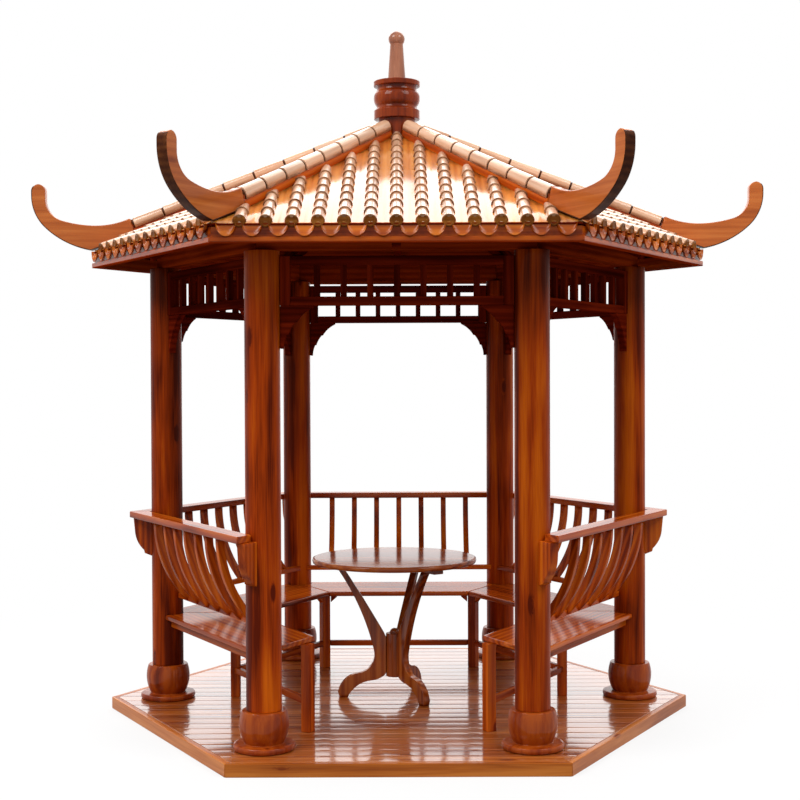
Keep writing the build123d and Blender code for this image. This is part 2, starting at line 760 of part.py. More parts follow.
# Table hub: a turned post with a round knob on its head, between the waists of the legs
with BuildPart() as table_hub:
    with BuildSketch(upright_plane(table_offset, deck_height + hub_clearance)):
        with BuildLine():
            Polyline((0, 0), (hub_diameter / 2, 0), (hub_diameter / 2, hub_height),
                     (hub_knob_diameter / 2, hub_height))
            knob = CenterArc((0, hub_height), hub_knob_diameter / 2, 0, 90)
            Line(knob @ 1, (0, 0))
        make_face()
    revolve(axis=Axis((table_offset, 0, 0), (0, 0, 1)))
table_hub.part.label = "table_hub"
export_step(table_hub.part, "parts/table_hub.step")
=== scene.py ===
from math import asin, atan, cos, pi, radians, sin, sqrt, tan
import bpy
import numpy as np
from mathutils import Matrix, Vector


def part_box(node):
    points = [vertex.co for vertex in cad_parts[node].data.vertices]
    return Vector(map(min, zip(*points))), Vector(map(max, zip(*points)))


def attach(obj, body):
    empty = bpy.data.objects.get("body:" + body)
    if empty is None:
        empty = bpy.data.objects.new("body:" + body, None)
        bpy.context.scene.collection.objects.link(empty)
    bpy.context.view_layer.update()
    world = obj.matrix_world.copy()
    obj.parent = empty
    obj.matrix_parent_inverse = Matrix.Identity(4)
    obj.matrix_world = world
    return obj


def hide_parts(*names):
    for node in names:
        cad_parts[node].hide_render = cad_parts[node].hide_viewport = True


# Six-sided garden pavilion of varnished timber, in metres. The origin is on the ground under the
# middle of the deck and +Z is up. A bay member is drawn in the bay that faces +X and a corner
# member on the corner that lies on +X, and each is then turned about Z to its own place.

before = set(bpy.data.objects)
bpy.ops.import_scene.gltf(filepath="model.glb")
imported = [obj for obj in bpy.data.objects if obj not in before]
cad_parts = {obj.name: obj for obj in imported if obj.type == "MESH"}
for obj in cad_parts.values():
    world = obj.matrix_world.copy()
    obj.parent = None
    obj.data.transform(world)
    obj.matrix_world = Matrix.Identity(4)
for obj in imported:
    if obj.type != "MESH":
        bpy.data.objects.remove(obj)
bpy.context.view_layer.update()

BAYS = {"front": 270, "front_right": 330, "back_right": 30,
        "back": 90, "back_left": 150, "front_left": 210}
CORNERS = {"front_left": 240, "front_right": 300, "right": 0,
           "back_right": 60, "back_left": 120, "left": 180}
BENCH_BAYS = ["front_right", "back_right", "back", "back_left", "front_left"]
HALF_BAY = pi / 6
CORNER_SHARE = cos(HALF_BAY)
TINY = 1e-4
CLEARANCE = 0.0003

# A corner of an outline is eased where it turns by more than this, in radians
SHARP_TURN = 0.35

# Steps round each rounded corner of a section
CORNER_STEPS = 2

chance = np.random.default_rng(7)


def lowest(node):
    """Lowest corner of a node's box."""
    return np.array(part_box(node)[0])


def highest(node):
    """Highest corner of a node's box."""
    return np.array(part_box(node)[1])


# Sizes read from the frame
deck_corner_radius = highest("deck_frame")[0]
deck_top = highest("deck_floor")[2]
floor_bottom = lowest("deck_floor")[2]
floor_corner_radius = highest("deck_floor")[0]
column_ring_radius = (lowest("column_right")[0] + highest("column_right")[0]) / 2
column_radius = (highest("column_right")[0] - lowest("column_right")[0]) / 2
column_foot = lowest("column_right")[2]
column_top = highest("column_right")[2]
plinth_radius = highest("column_bases")[0] - column_ring_radius
ring_beam_top = highest("ring_beam")[2]
eave_bottom = lowest("eave_boards")[2]
crown_height = highest("king_post")[2]
king_post_foot = lowest("king_post")[2]
frieze_top = highest("frieze_front")[2]
frieze_bottom = lowest("frieze_front")[2]
frieze_length = highest("frieze_front")[0] - lowest("frieze_front")[0]
bracket_foot = lowest("corner_brackets")[2]
seat_top = highest("bench_seat_back")[2]
seat_bottom = lowest("bench_seat_back")[2]
low_rail_bottom = lowest("bench_back_back")[2]
high_rail_top = highest("bench_back_back")[2]
corbel_bottom = lowest("back_corbels")[2]
table_radius = (highest("table_top")[1] - lowest("table_top")[1]) / 2
table_centre = highest("table_top")[0] - table_radius
table_height = highest("table_top")[2]
batten_bottom = lowest("table_top")[2]
hub_bottom = lowest("table_hub")[2]
ball_top = highest("finial")[2]

# Roof: its upper surface falls evenly from the crown to the eave corners
eave_corner_radius = highest("eave_boards")[0]
eave_depth = 0.086
eave_height = eave_bottom + eave_depth
roof_board_thickness = 0.02
soffit_thickness = 0.006
eave_board_thickness = 0.024
eave_lip_depth = 0.026
eave_lip_projection = 0.012
crown_corner_radius = 0.084
pedestal_radius = 0.095
hip_rise = (crown_height - eave_height) / (eave_corner_radius - crown_corner_radius)
face_rise = hip_rise / CORNER_SHARE
hip_pitch = atan(hip_rise)
face_pitch = atan(face_rise)
eave_face = eave_corner_radius * CORNER_SHARE - eave_lip_projection
board_drop = roof_board_thickness / cos(face_pitch)

# Faces of the bay that lie square to it, measured out from the middle
column_face = column_ring_radius * CORNER_SHARE
deck_face = deck_corner_radius * CORNER_SHARE
seat_inner_radius = 0.79
seat_overhang = 0.041
seat_inner_face = seat_inner_radius * CORNER_SHARE
seat_outer_face = column_face + seat_overhang


def evenly_spaced(count, pitch):
    """Places a pitch apart, centred on zero."""
    return (np.arange(count) - (count - 1) / 2) * pitch


def roof_height(hip_run):
    """Height of the roof's upper surface over a point hip_run from the middle along a hip."""
    return eave_height + (eave_corner_radius - hip_run) * hip_rise


def roof_height_in_bay(face_run):
    """Height of the roof's upper surface face_run from the middle, square to an eave."""
    return roof_height(face_run / CORNER_SHARE)


# Outlines, as complex numbers: real part out, imaginary part up

def arc(start, end, half_turn, count=9):
    """Arc that turns by twice half_turn: start + chord sin(h t) / sin h, turned by h (t - 1)."""
    t = np.linspace(0, 1, count)
    if abs(half_turn) < TINY:
        return start + (end - start) * t
    share = np.sin(half_turn * t) / sin(half_turn)
    return start + (end - start) * share * np.exp(1j * half_turn * (t - 1))


def arc_by_way_of(start, middle, end, count=9):
    """Arc through three points: half its turn is the angle between its two chords."""
    return arc(start, end, np.angle((end - middle) / (middle - start)), count)


def arc_of_radius(start, end, radius, count=9):
    """Arc of a given radius, positive where it turns left: its half turn is asin(chord / 2 r)."""
    return arc(start, end, asin(abs(end - start) / 2 / radius), count)


def smooth_arcs(knots, heading, count=9):
    """Arcs from knot to knot, each leaving along the heading in which the last one arrives."""
    runs = []
    for start, end in zip(knots[:-1], knots[1:]):
        half_turn = np.angle((end - start) / heading)
        runs.append(arc(start, end, half_turn, count))
        heading = (end - start) * np.exp(1j * half_turn)
    return runs


def straight(start, end, count=9):
    """Points evenly along a straight line."""
    return start + (end - start) * np.linspace(0, 1, count)


def joined(runs):
    """Runs of points end to end, each but the first without the point that it shares."""
    return np.concatenate([runs[0]] + [run[1:] for run in runs[1:]])


def eased(outline, rounding):
    """Outline whose sharp corners are cut back by the rounding and bowed through (a + 2p + b) / 4."""
    before = outline[:-2] - outline[1:-1]
    after = outline[2:] - outline[1:-1]
    cut = np.minimum(rounding, np.minimum(np.abs(before), np.abs(after)) / 2)
    start = outline[1:-1] + cut * before / np.abs(before)
    end = outline[1:-1] + cut * after / np.abs(after)
    sharp = np.abs(np.angle(-after / before)) > SHARP_TURN
    middle = np.where(sharp, (start + 2 * outline[1:-1] + end) / 4, outline[1:-1])
    kept = np.stack([sharp, np.ones_like(sharp), sharp], -1)
    corners = np.stack([start, middle, end], -1)
    return np.concatenate([outline[:1], corners[kept], outline[-1:]])


# Skins: grids of rings, with the place of each point in the timber that it was cut from

def rounded_ring(width, height, rounding):
    """Closed ring round a rectangle whose corners are quarter circles. The sizes may be arrays."""
    width, height, rounding = np.broadcast_arrays(width, height, rounding)
    signs = np.array([[1, 1], [-1, 1], [-1, -1], [1, -1]])
    sides = np.stack([width / 2 - rounding, height / 2 - rounding], -1)
    angles = np.linspace(0, pi / 2, CORNER_STEPS + 1) + np.arange(4)[:, None] * pi / 2
    arcs = np.stack([np.cos(angles), np.sin(angles)], -1)
    ring = (signs * sides[..., None, :])[..., None, :] + rounding[..., None, None, None] * arcs
    return ring.reshape(*width.shape, -1, 2)


def inset_ring(width, height, rounding, inset):
    """Rounded ring of a section at each station, set in all round by the inset there."""
    return rounded_ring(width - 2 * inset, height - 2 * inset, rounding - inset + TINY)


def eased_stations(half_length, rounding):
    """Stations of a member with rounded ends: how far each lies out, and how far its ring is set in."""
    turn = np.linspace(0, pi / 2, CORNER_STEPS + 1)
    out = half_length - rounding * (1 - np.cos(turn))
    inset = rounding * (1 - np.sin(turn))
    return np.concatenate([-out, out[::-1]]), np.concatenate([inset, inset[::-1]])


def plank(length, width, height, rounding=0.003):
    """Straight plank centred on the origin, along X: a rounded section carried from end to end."""
    out, inset = eased_stations(length / 2, rounding)
    ring = inset_ring(width, height, rounding, inset)
    along = np.broadcast_to(out[:, None, None], ring.shape[:2] + (1,))
    points = np.concatenate([along, ring], -1)
    return points, points


def placed(skin, origin, along=(1, 0, 0), across=(0, 1, 0)):
    """Skin set down at a place: origin + x along + y across + z (along x across)."""
    axes = np.array([along, across, np.cross(along, across)], float)
    return skin[0] @ axes + np.array(origin, float), skin[1]


def turned_about_z(skin, direction):
    """Skin turned about Z: x' = x cos a - y sin a, y' = x sin a + y cos a."""
    a = radians(direction)
    turn = np.array([[cos(a), sin(a), 0], [-sin(a), cos(a), 0], [0, 0, 1]])
    return skin[0] @ turn, skin[1]


def turned_all(skins, directions):
    """Every skin turned to every direction."""
    return [turned_about_z(skin, direction) for direction in directions for skin in skins]


def mitre(run, clearance):
    """Half length of a bay member at a run from the middle, clear of the radial planes beside it."""
    return (run - 2 * clearance) * tan(HALF_BAY)


def saddled(run, clearance):
    """Half length of a bay member that stops at its mitre or at the columns, whichever is nearer."""
    reach = column_radius + clearance
    chord = np.sqrt(np.maximum(reach ** 2 - (run - column_face) ** 2, 0))
    beside = np.abs(run - column_face) < reach
    return np.where(beside, column_ring_radius / 2 - chord, mitre(run, clearance))


def bay_member(inner, outer, bottom, top, rounding=0.003, clearance=0.0005, ends=mitre, spans=1):
    """Member across the +X bay: a rounded section (run, height) carried along Y between its ends."""
    out, inset = eased_stations(0, rounding)
    ring = inset_ring(outer - inner, top - bottom, rounding, inset)
    if spans > 1:
        ring = spread(ring, spans)
    run = (inner + outer) / 2 + ring[..., 0]
    height = (bottom + top) / 2 + ring[..., 1]
    half = out.size // 2
    side = np.where(np.arange(out.size) < half, -1, 1)[:, None]
    end = ends(run, clearance)
    y = side * (end - np.abs(out)[:, None])
    points = np.stack([run, y, height], -1)
    return points, points[..., [1, 0, 2]]


def spread(ring, spans):
    """Ring with each of its two long sides cut into even spans."""
    count = ring.shape[-2] // 4
    share = np.linspace(0, 1, spans + 1)[1:-1, None]
    parts = []
    for corner in range(4):
        parts.append(ring[..., corner * count:(corner + 1) * count, :])
        if corner % 2 == 0:
            start = ring[..., (corner + 1) * count - 1, None, :]
            end = ring[..., (corner + 1) * count, None, :]
            parts.append(start + (end - start) * share)
    return np.concatenate(parts, -2)


def board_between(front, back, thickness, rounding=0.003, lie=0.0, ease=(1, 1)):
    """Board on edge in the XZ plane: a rounded section from one outline to the other at each
    station. Its grain runs straight, at an angle lie from X."""
    inset = np.zeros(len(front))
    for end, inward, eases in ((0, 1, ease[0]), (-1, -2, ease[1])):
        if eases:
            step = (front[inward] + back[inward]) - (front[end] + back[end])
            step = rounding * step / abs(step)
            at = 1 if end == 0 else len(front) - 1
            front = np.insert(front, at, front[end] + step)
            back = np.insert(back, at, back[end] + step)
            inset = np.insert(inset, at, 0)
            inset[end] = rounding
    reach = np.abs(front - back)
    toward = (front - back) / np.maximum(reach, TINY)
    width = np.maximum(reach - 2 * inset, 4 * TINY)
    corner = np.clip(rounding - inset, TINY, width / 2 - TINY)
    ring = rounded_ring(width, thickness - 2 * inset, corner)
    plane = ((front + back) / 2)[:, None] + toward[:, None] * ring[..., 0]
    points = np.stack([plane.real, ring[..., 1], plane.imag], -1)
    cut = plane * np.exp(-1j * lie)
    return points, np.stack([cut.real, cut.imag, ring[..., 1]], -1)


def into_bay(skin, run):
    """Board drawn in the XZ plane stood across the +X bay: out becomes Y, and X is about a run."""
    points = skin[0]
    return np.stack([run + points[..., 1], points[..., 0], points[..., 2]], -1), skin[1]


def lathe(profile, sides=48):
    """Turned piece on the Z axis: a profile (radius, height) carried round a circle."""
    angle = np.arange(sides) * 2 * pi / sides
    radius = np.maximum(profile.real, TINY)[:, None]
    height = np.broadcast_to(profile.imag[:, None], (len(profile), sides))
    points = np.stack([radius * np.cos(angle), radius * np.sin(angle), height], -1)
    return points, points[..., [2, 0, 1]]


def moved(skin, x, y=0, z=0):
    """Skin moved without turning."""
    return skin[0] + np.array([x, y, z]), skin[1]


def mirrored_pair(skin):
    """Skin and its mirror image, one on each side of the XZ plane."""
    return [skin, (skin[0] * np.array([1, -1, 1]), skin[1])]


def end_polygons(index):
    """The two end rings of each skin as polygons that face away from each other."""
    return np.concatenate([index[:, 0, ::-1], index[:, -1]])


def skin_faces(points):
    """Quads from ring to ring and a polygon over each end ring, facing outwards."""
    batch, stations, count = points.shape[:3]
    index = np.arange(batch * stations * count).reshape(batch, stations, count)
    beside = np.roll(index, -1, 2)
    quads = np.stack([index[:, :-1], beside[:, :-1], beside[:, 1:], index[:, 1:]], -1).reshape(-1, 4)
    ends = end_polygons(index)
    first = points[0].reshape(-1, 3)
    own = quads[quads.max(1) < len(first)]
    a, b, c, d = (first[own[:, k]] for k in range(4))
    volume = np.einsum("ij,ij->", a, np.cross(b, c)) + np.einsum("ij,ij->", a, np.cross(c, d))
    for cap in (index[0, 0, ::-1], index[0, -1]):
        edge = first[cap]
        volume += np.einsum("ij,ij->", np.broadcast_to(edge[0], edge[2:].shape),
                            np.cross(edge[1:-1], edge[2:]))
    if volume < 0:
        return quads[:, ::-1], ends[:, ::-1]
    return quads, ends


def face_normals(points, faces):
    """Area-weighted normal of each face: half the sum of the cross products round its edge."""
    corners = points[faces]
    return np.cross(corners, np.roll(corners, -1, 1)).sum(1) / 2


def add_object(name, data):
    """New object in the scene."""
    made = bpy.data.objects.new(name, data)
    bpy.context.scene.collection.objects.link(made)
    return made


def build(name, skins, material, nodes, pith=(0.05, 0.22)):
    """One piece from many closed skins. Each skin is cut from its own stretch of timber, its pith
    a random distance away, and the normals are the faces' normals weighted by area."""
    places, grains, tones, loops, starts, normals = [], [], [], [], [], []
    placed_points = placed_corners = 0
    for points, grain in skins:
        points = points.reshape(-1, *points.shape[-3:])
        grain = grain.reshape(points.shape)
        batch, stations, count = points.shape[:3]
        away = chance.uniform(0, 2 * pi, batch)
        distance = chance.uniform(*pith, batch)
        shift = np.stack([chance.uniform(-30, 30, batch), distance * np.cos(away),
                          distance * np.sin(away)], -1)
        quads, ends = skin_faces(points)
        flat = points.reshape(-1, 3)
        lean = np.zeros_like(flat)
        for faces in (quads, ends):
            weighted = face_normals(flat, faces)
            np.add.at(lean, faces.ravel(), np.repeat(weighted, faces.shape[1], axis=0))
            loops.append((faces + placed_points).ravel())
            starts.append(placed_corners + np.arange(len(faces)) * faces.shape[1])
            placed_corners += faces.size
        places.append(flat)
        normals.append(lean / np.maximum(np.linalg.norm(lean, axis=1, keepdims=True), 1e-12))
        grains.append((grain + shift[:, None, None]).reshape(-1, 3))
        tones.append(np.repeat(chance.uniform(0, 1, batch), stations * count))
        placed_points += len(flat)
    mesh = bpy.data.meshes.new(name)
    mesh.vertices.add(placed_points)
    mesh.vertices.foreach_set("co", np.concatenate(places).ravel())
    mesh.loops.add(placed_corners)
    mesh.loops.foreach_set("vertex_index", np.concatenate(loops))
    starts = np.concatenate(starts)
    mesh.polygons.add(len(starts))
    mesh.polygons.foreach_set("loop_start", starts)
    mesh.polygons.foreach_set("use_smooth", np.ones(len(starts), bool))
    mesh.attributes.new("grain", "FLOAT_VECTOR", "POINT")
    mesh.attributes.new("tone", "FLOAT", "POINT")
    mesh.attributes["grain"].data.foreach_set("vector", np.concatenate(grains).ravel())
    mesh.attributes["tone"].data.foreach_set("value", np.concatenate(tones))
    mesh.update(calc_edges=True)
    mesh.normals_split_custom_set_from_vertices(np.concatenate(normals))
    mesh.materials.append(material)
    piece = add_object(name, mesh)
    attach(piece, "root")
    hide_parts(*nodes)


# Materials

def add_node(tree, kind, inputs=None, **settings):
    """New shader node. Each input is a plain value, or the output socket that feeds it."""
    made = tree.nodes.new(kind)
    for name, value in settings.items():
        setattr(made, name, value)
    for name, value in (inputs or {}).items():
        if isinstance(value, bpy.types.NodeSocket):
            tree.links.new(value, made.inputs[name])
        else:
            made.inputs[name].default_value = value
    return made


def emptied_tree(owner):
    """Node tree of a material or of the world, without its first nodes."""
    owner.use_nodes = True
    owner.node_tree.nodes.clear()
    return owner.node_tree


def stretched(tree, vector, along, across):
    """Timber coordinates scaled along the grain and across it."""
    scaled = add_node(tree, "ShaderNodeVectorMath", {0: vector, 1: (along, across, across)},
                      operation="MULTIPLY")
    return scaled.outputs[0]


def weighted_sum(tree, parts):
    """Sum of sockets, each times its weight."""
    total = 0.0
    for socket, weight in parts:
        total = add_node(tree, "ShaderNodeMath", {0: socket, 1: weight, 2: total},
                         operation="MULTIPLY_ADD").outputs[0]
    return total


def varnished_timber(name, stops, ring_pitch=0.03, ring_weight=0.12, gloss=(0.34, 0.5), coat=1.0,
                     coat_index=1.4, coat_roughness=0.08, sheen=0.12):
    """Varnished timber with growth rings round the pith, long streaks that part round the knots,
    and fine fibres."""
    material = bpy.data.materials.new(name)
    tree = emptied_tree(material)
    straight_grain = add_node(tree, "ShaderNodeAttribute", attribute_name="grain").outputs["Vector"]
    tone = add_node(tree, "ShaderNodeAttribute", attribute_name="tone").outputs["Fac"]
    knot_cells = add_node(tree, "ShaderNodeTexVoronoi", {
        "Vector": stretched(tree, straight_grain, 2.0, 6.0), "Scale": 1.0}).outputs["Distance"]
    knots = add_node(tree, "ShaderNodeMapRange", {
        "Value": knot_cells, "From Min": 0.02, "From Max": 0.13, "To Min": 0.4, "To Max": 0.0},
        interpolation_type="SMOOTHSTEP").outputs[0]
    grain = add_node(tree, "ShaderNodeVectorMath", {0: knots, 1: (0, 0.05, 0.05), 2: straight_grain},
                     operation="MULTIPLY_ADD").outputs[0]
    rings = add_node(tree, "ShaderNodeTexWave", {
        "Vector": stretched(tree, grain, 0.05, 1.0), "Scale": 0.314 / ring_pitch,
        "Distortion": 4.0, "Detail": 3.0, "Detail Scale": 0.3, "Detail Roughness": 0.6},
        wave_type="RINGS", rings_direction="X", wave_profile="SIN").outputs["Fac"]
    streaks = add_node(tree, "ShaderNodeTexNoise", {
        "Vector": stretched(tree, grain, 0.9, 17.0), "Scale": 1.0, "Detail": 4.0,
        "Roughness": 0.62, "Distortion": 0.4}).outputs["Fac"]
    fibres = add_node(tree, "ShaderNodeTexNoise", {
        "Vector": stretched(tree, grain, 5.0, 260.0), "Scale": 1.0, "Detail": 2.0}).outputs["Fac"]
    patches = add_node(tree, "ShaderNodeTexNoise", {
        "Vector": stretched(tree, grain, 1.6, 3.2), "Scale": 1.0, "Detail": 2.0}).outputs["Fac"]
    figure = weighted_sum(tree, [(rings, ring_weight), (streaks, 0.62), (fibres, 0.16),
                                 (patches, 0.42), (knots, 0.5)])
    ramp = add_node(tree, "ShaderNodeValToRGB", {"Fac": figure})
    elements = ramp.color_ramp.elements
    while len(elements) < len(stops):
        elements.new(0.5)
    for element, (place, colour) in zip(elements, stops):
        element.position = place
        element.color = (*colour, 1)
    shade = add_node(tree, "ShaderNodeMapRange", {
        "Value": tone, "To Min": 0.82, "To Max": 1.1}).outputs[0]
    colour = add_node(tree, "ShaderNodeVectorMath", {0: ramp.outputs["Color"]}, operation="SCALE")
    tree.links.new(shade, colour.inputs["Scale"])
    roughness = add_node(tree, "ShaderNodeMapRange", {
        "Value": streaks, "From Min": 0.3, "From Max": 0.7,
        "To Min": gloss[0], "To Max": gloss[1]}).outputs[0]
    relief = weighted_sum(tree, [(rings, 0.5), (fibres, 0.5)])
    bump = add_node(tree, "ShaderNodeBump", {"Strength": 0.3, "Distance": 0.0006,
                                             "Height": relief}).outputs["Normal"]
    film = add_node(tree, "ShaderNodeBump", {"Strength": 0.12, "Distance": 0.0006,
                                             "Height": streaks}).outputs["Normal"]
    shader = add_node(tree, "ShaderNodeBsdfPrincipled", {
        "Base Color": colour.outputs[0], "Roughness": roughness, "Normal": bump,
        "Specular IOR Level": sheen, "Specular Tint": (1.0, 0.4, 0.12, 1.0),
        "Coat Weight": coat, "Coat Roughness": coat_roughness, "Coat IOR": coat_index,
        "Coat Normal": film})
    add_node(tree, "ShaderNodeOutputMaterial", {"Surface": shader.outputs[0]})
    return material


deck_timber = varnished_timber("deck_timber", [
    (0.53, (0.50, 0.150, 0.026)), (0.66, (0.37, 0.090, 0.012)), (0.82, (0.17, 0.026, 0.003))],
    coat_index=1.7, coat_roughness=0.1)
rim_timber = varnished_timber("rim_timber", [
    (0.53, (0.66, 0.210, 0.034)), (0.66, (0.50, 0.130, 0.016)), (0.82, (0.22, 0.034, 0.003))],
    coat=0.25)
column_timber = varnished_timber("column_timber", [
    (0.50, (0.58, 0.112, 0.004)), (0.65, (0.34, 0.040, 0.002)), (0.78, (0.09, 0.007, 0.001))],
    ring_pitch=0.035, coat=0.06, sheen=0.08)
turned_timber = varnished_timber("turned_timber", [
    (0.53, (0.40, 0.074, 0.006)), (0.66, (0.26, 0.034, 0.003)), (0.82, (0.10, 0.009, 0.001))],
    ring_weight=0.05, coat=0.45, sheen=0.04)
# Painted sheen: a paler copy of the turned timber for the spire and ball, standing in for part of their
# reflection; their coat reflects as well.
spire_painted_sheen_timber = varnished_timber("spire_painted_sheen_timber", [
    (0.53, (0.50, 0.200, 0.110)), (0.66, (0.36, 0.130, 0.070)), (0.82, (0.16, 0.040, 0.016))],
    ring_weight=0.05, coat=0.6, coat_index=1.5)
frame_timber = varnished_timber("frame_timber", [
    (0.53, (0.20, 0.016, 0.003)), (0.66, (0.12, 0.008, 0.002)), (0.82, (0.05, 0.003, 0.001))],
    coat=0.0, sheen=0.0)
soffit_timber = varnished_timber("soffit_timber", [
    (0.53, (0.44, 0.050, 0.004)), (0.66, (0.30, 0.028, 0.003)), (0.82, (0.14, 0.010, 0.001))],
    coat=0.0, sheen=0.0)
roof_timber = varnished_timber("roof_timber", [
    (0.53, (0.56, 0.110, 0.005)), (0.66, (0.40, 0.058, 0.003)), (0.84, (0.18, 0.016, 0.001))],
    coat_index=1.22)
tongue_timber = varnished_timber("tongue_timber", [
    (0.53, (0.56, 0.140, 0.010)), (0.66, (0.40, 0.076, 0.004)), (0.82, (0.18, 0.020, 0.001))],
    coat_index=1.3, coat_roughness=0.2)
horn_timber = varnished_timber("horn_timber", [
    (0.48, (0.60, 0.175, 0.035)), (0.66, (0.46, 0.108, 0.017)), (0.92, (0.22, 0.036, 0.004))],
    ring_weight=0.06, coat=0.6, sheen=0.08)
pan_timber = varnished_timber("pan_timber", [
    (0.50, (0.84, 0.340, 0.064)), (0.66, (0.72, 0.250, 0.036)), (0.90, (0.42, 0.100, 0.012))],
    coat_index=1.8, coat_roughness=0.12)
# Painted sheen: the tiles and ridge covers take a pale cream copy of the roof timber, lighter than the
# wood, standing in for part of their reflection; their coat reflects as well.
tile_painted_sheen_timber = varnished_timber("tile_painted_sheen_timber", [
    (0.50, (0.80, 0.540, 0.380)), (0.66, (0.70, 0.420, 0.260)), (0.90, (0.44, 0.190, 0.090))],
    gloss=(0.22, 0.36), coat_index=1.5, coat_roughness=0.2)
# Painted shade: a darker timber for the arches over the tiles' feet, standing in for the shadow there.
tile_foot_painted_shade_timber = varnished_timber("tile_foot_painted_shade_timber", [
    (0.53, (0.46, 0.260, 0.150)), (0.66, (0.36, 0.185, 0.095)), (0.86, (0.20, 0.085, 0.036))],
    coat=0.1, sheen=0.05)
row_end_timber = varnished_timber("row_end_timber", [
    (0.53, (0.26, 0.090, 0.014)), (0.66, (0.17, 0.050, 0.006)), (0.86, (0.08, 0.018, 0.002))],
    coat=0.1, sheen=0.05)
# Dark timber for the bars in the gaps between the ridge covers, and for the band along the back of each
# hip end, where it is a darker stain deepened into painted shade.
disc_timber = varnished_timber("disc_timber", [
    (0.53, (0.12, 0.036, 0.009)), (0.66, (0.07, 0.017, 0.004)), (0.82, (0.03, 0.005, 0.001))],
    coat=0.15, sheen=0.05)
bench_timber = varnished_timber("bench_timber", [
    (0.53, (0.62, 0.132, 0.008)), (0.66, (0.44, 0.066, 0.004)), (0.82, (0.17, 0.017, 0.001))],
    coat=0.32, coat_roughness=0.22, sheen=0.0)
seat_timber = varnished_timber("seat_timber", [
    (0.53, (0.56, 0.120, 0.008)), (0.66, (0.40, 0.060, 0.004)), (0.82, (0.16, 0.016, 0.001))],
    coat=0.5, coat_roughness=0.12, sheen=0.0)
table_timber = varnished_timber("table_timber", [
    (0.53, (0.42, 0.110, 0.018)), (0.66, (0.29, 0.057, 0.008)), (0.82, (0.12, 0.014, 0.002))],
    coat=0.65, coat_roughness=0.12, sheen=0.0)

# Deck

board_count = 26
board_gap = 0.003
board_crown = 0.0003
board_tip = 0.002
board_rounding = 0.002
rim_width = 0.03
joist_width = 0.05
joist_count = 9


def deck_board_skin(middles, board_pitch):
    """Boards along X: a rounded section (y, z), crowned by (1 - (2 y / width) squared) and tipped
    a little, carried from edge to edge of the hexagon, whose edge lies at x = R - |y| / tan 60."""
    out, inset = eased_stations(0, board_rounding)
    thickness = deck_top - floor_bottom - board_crown
    width = board_pitch - board_gap
    ring = spread(inset_ring(width, thickness, board_rounding, inset), 8)
    own_y = np.broadcast_to(ring[None, ..., 0], (len(middles), *ring.shape[:2]))
    y = own_y + middles[:, None, None]
    tip = chance.uniform(-board_tip, board_tip, len(middles))[:, None, None]
    crown = board_crown * (1 - (2 * own_y / width) ** 2) + tip * own_y
    middle = (deck_top - board_crown + floor_bottom) / 2
    z = ring[None, ..., 1] + middle + np.where(ring[None, ..., 1] > 0, crown, 0)
    side = np.where(np.arange(out.size) < out.size // 2, -1, 1)[None, :, None]
    x = side * (floor_corner_radius - np.abs(y) * tan(HALF_BAY) - 0.001 - np.abs(out)[None, :, None])
    points = np.stack([x, y, z], -1)
    return points, points - np.array([0, 1, 0]) * middles[:, None, None, None]


def make_deck():
    """Floor boards, rim boards and joists."""
    board_pitch = 2 * floor_corner_radius * CORNER_SHARE / board_count
    boards = deck_board_skin(evenly_spaced(board_count, board_pitch), board_pitch)
    build("deck_boards", [boards], deck_timber, ["deck_floor"])
    rim = bay_member(deck_face - rim_width, deck_face, 0, deck_top, rounding=0.003)
    skins = turned_all([rim], BAYS.values())
    for x in evenly_spaced(joist_count, 2 * floor_corner_radius / joist_count):
        reach = min(floor_corner_radius - abs(x) - joist_width / 2,
                    floor_corner_radius / 2) * sqrt(3)
        skins.append(placed(plank(2 * reach, joist_width, floor_bottom, 0.002),
                            (x, 0, floor_bottom / 2), (0, 1, 0), (-1, 0, 0)))
    build("deck_rim_and_joists", skins, rim_timber, ["deck_frame"])


make_deck()

# Columns on turned bases

base_top = column_foot - deck_top
plinth_thickness = 0.03
drum_foot_radius = 0.089
drum_belly_radius = 0.111
drum_shoulder_radius = 0.1


def make_columns():
    """Six round columns and their bases: a plinth disc and a drum that swells at its middle."""
    belly_height = plinth_thickness + (base_top - plinth_thickness) * 0.55
    belly = arc_by_way_of(drum_foot_radius + 1j * plinth_thickness,
                          drum_belly_radius + 1j * belly_height,
                          drum_shoulder_radius + 1j * base_top, 13)
    plinth = eased(np.array([0, plinth_radius, plinth_radius + 1j * plinth_thickness,
                             drum_foot_radius + 1j * plinth_thickness]), 0.012)
    profile = joined([plinth, belly, np.array([drum_shoulder_radius + 1j * base_top,
                                               1j * base_top])])
    base = moved(lathe(eased(profile, 0.003)), column_ring_radius, 0, deck_top)
    build("turned_bases", turned_all([base], CORNERS.values()), turned_timber,
          ["column_bases"])
    shaft = eased(np.array([1j * column_foot, column_radius + 1j * column_foot,
                            column_radius + 1j * column_top, 1j * column_top]), 0.003)
    for corner, direction in CORNERS.items():
        column = turned_about_z(moved(lathe(shaft, 64), column_ring_radius), direction)
        build(f"round_column_{corner}", [column], column_timber,
              [f"column_{corner}"], pith=(0.0, 0.05))


make_columns()

# Beams and rafters

ring_beam_width = 0.08
hip_rafter_width = 0.06
hip_rafter_depth = 0.078
common_rafter_width = 0.04
common_rafter_depth = 0.1
king_post_width = 0.12
king_post_chamfer = 0.018


def notched_rafter(inner, outer, top, depth, notch, width):
    """Rafter on edge: a straight top, and a bottom that steps up over the ring beam."""
    runs = np.array([outer, notch[1], notch[1] - TINY, notch[0] + TINY, notch[0], inner])
    upper = runs + 1j * top(runs)
    lower = runs + 1j * (top(runs) - depth)
    seat = ring_beam_top + CLEARANCE
    lower[2:4] = runs[2:4] + 1j * np.maximum(lower[2:4].imag, seat)
    return board_between(upper, lower, width, lie=-atan(face_rise))


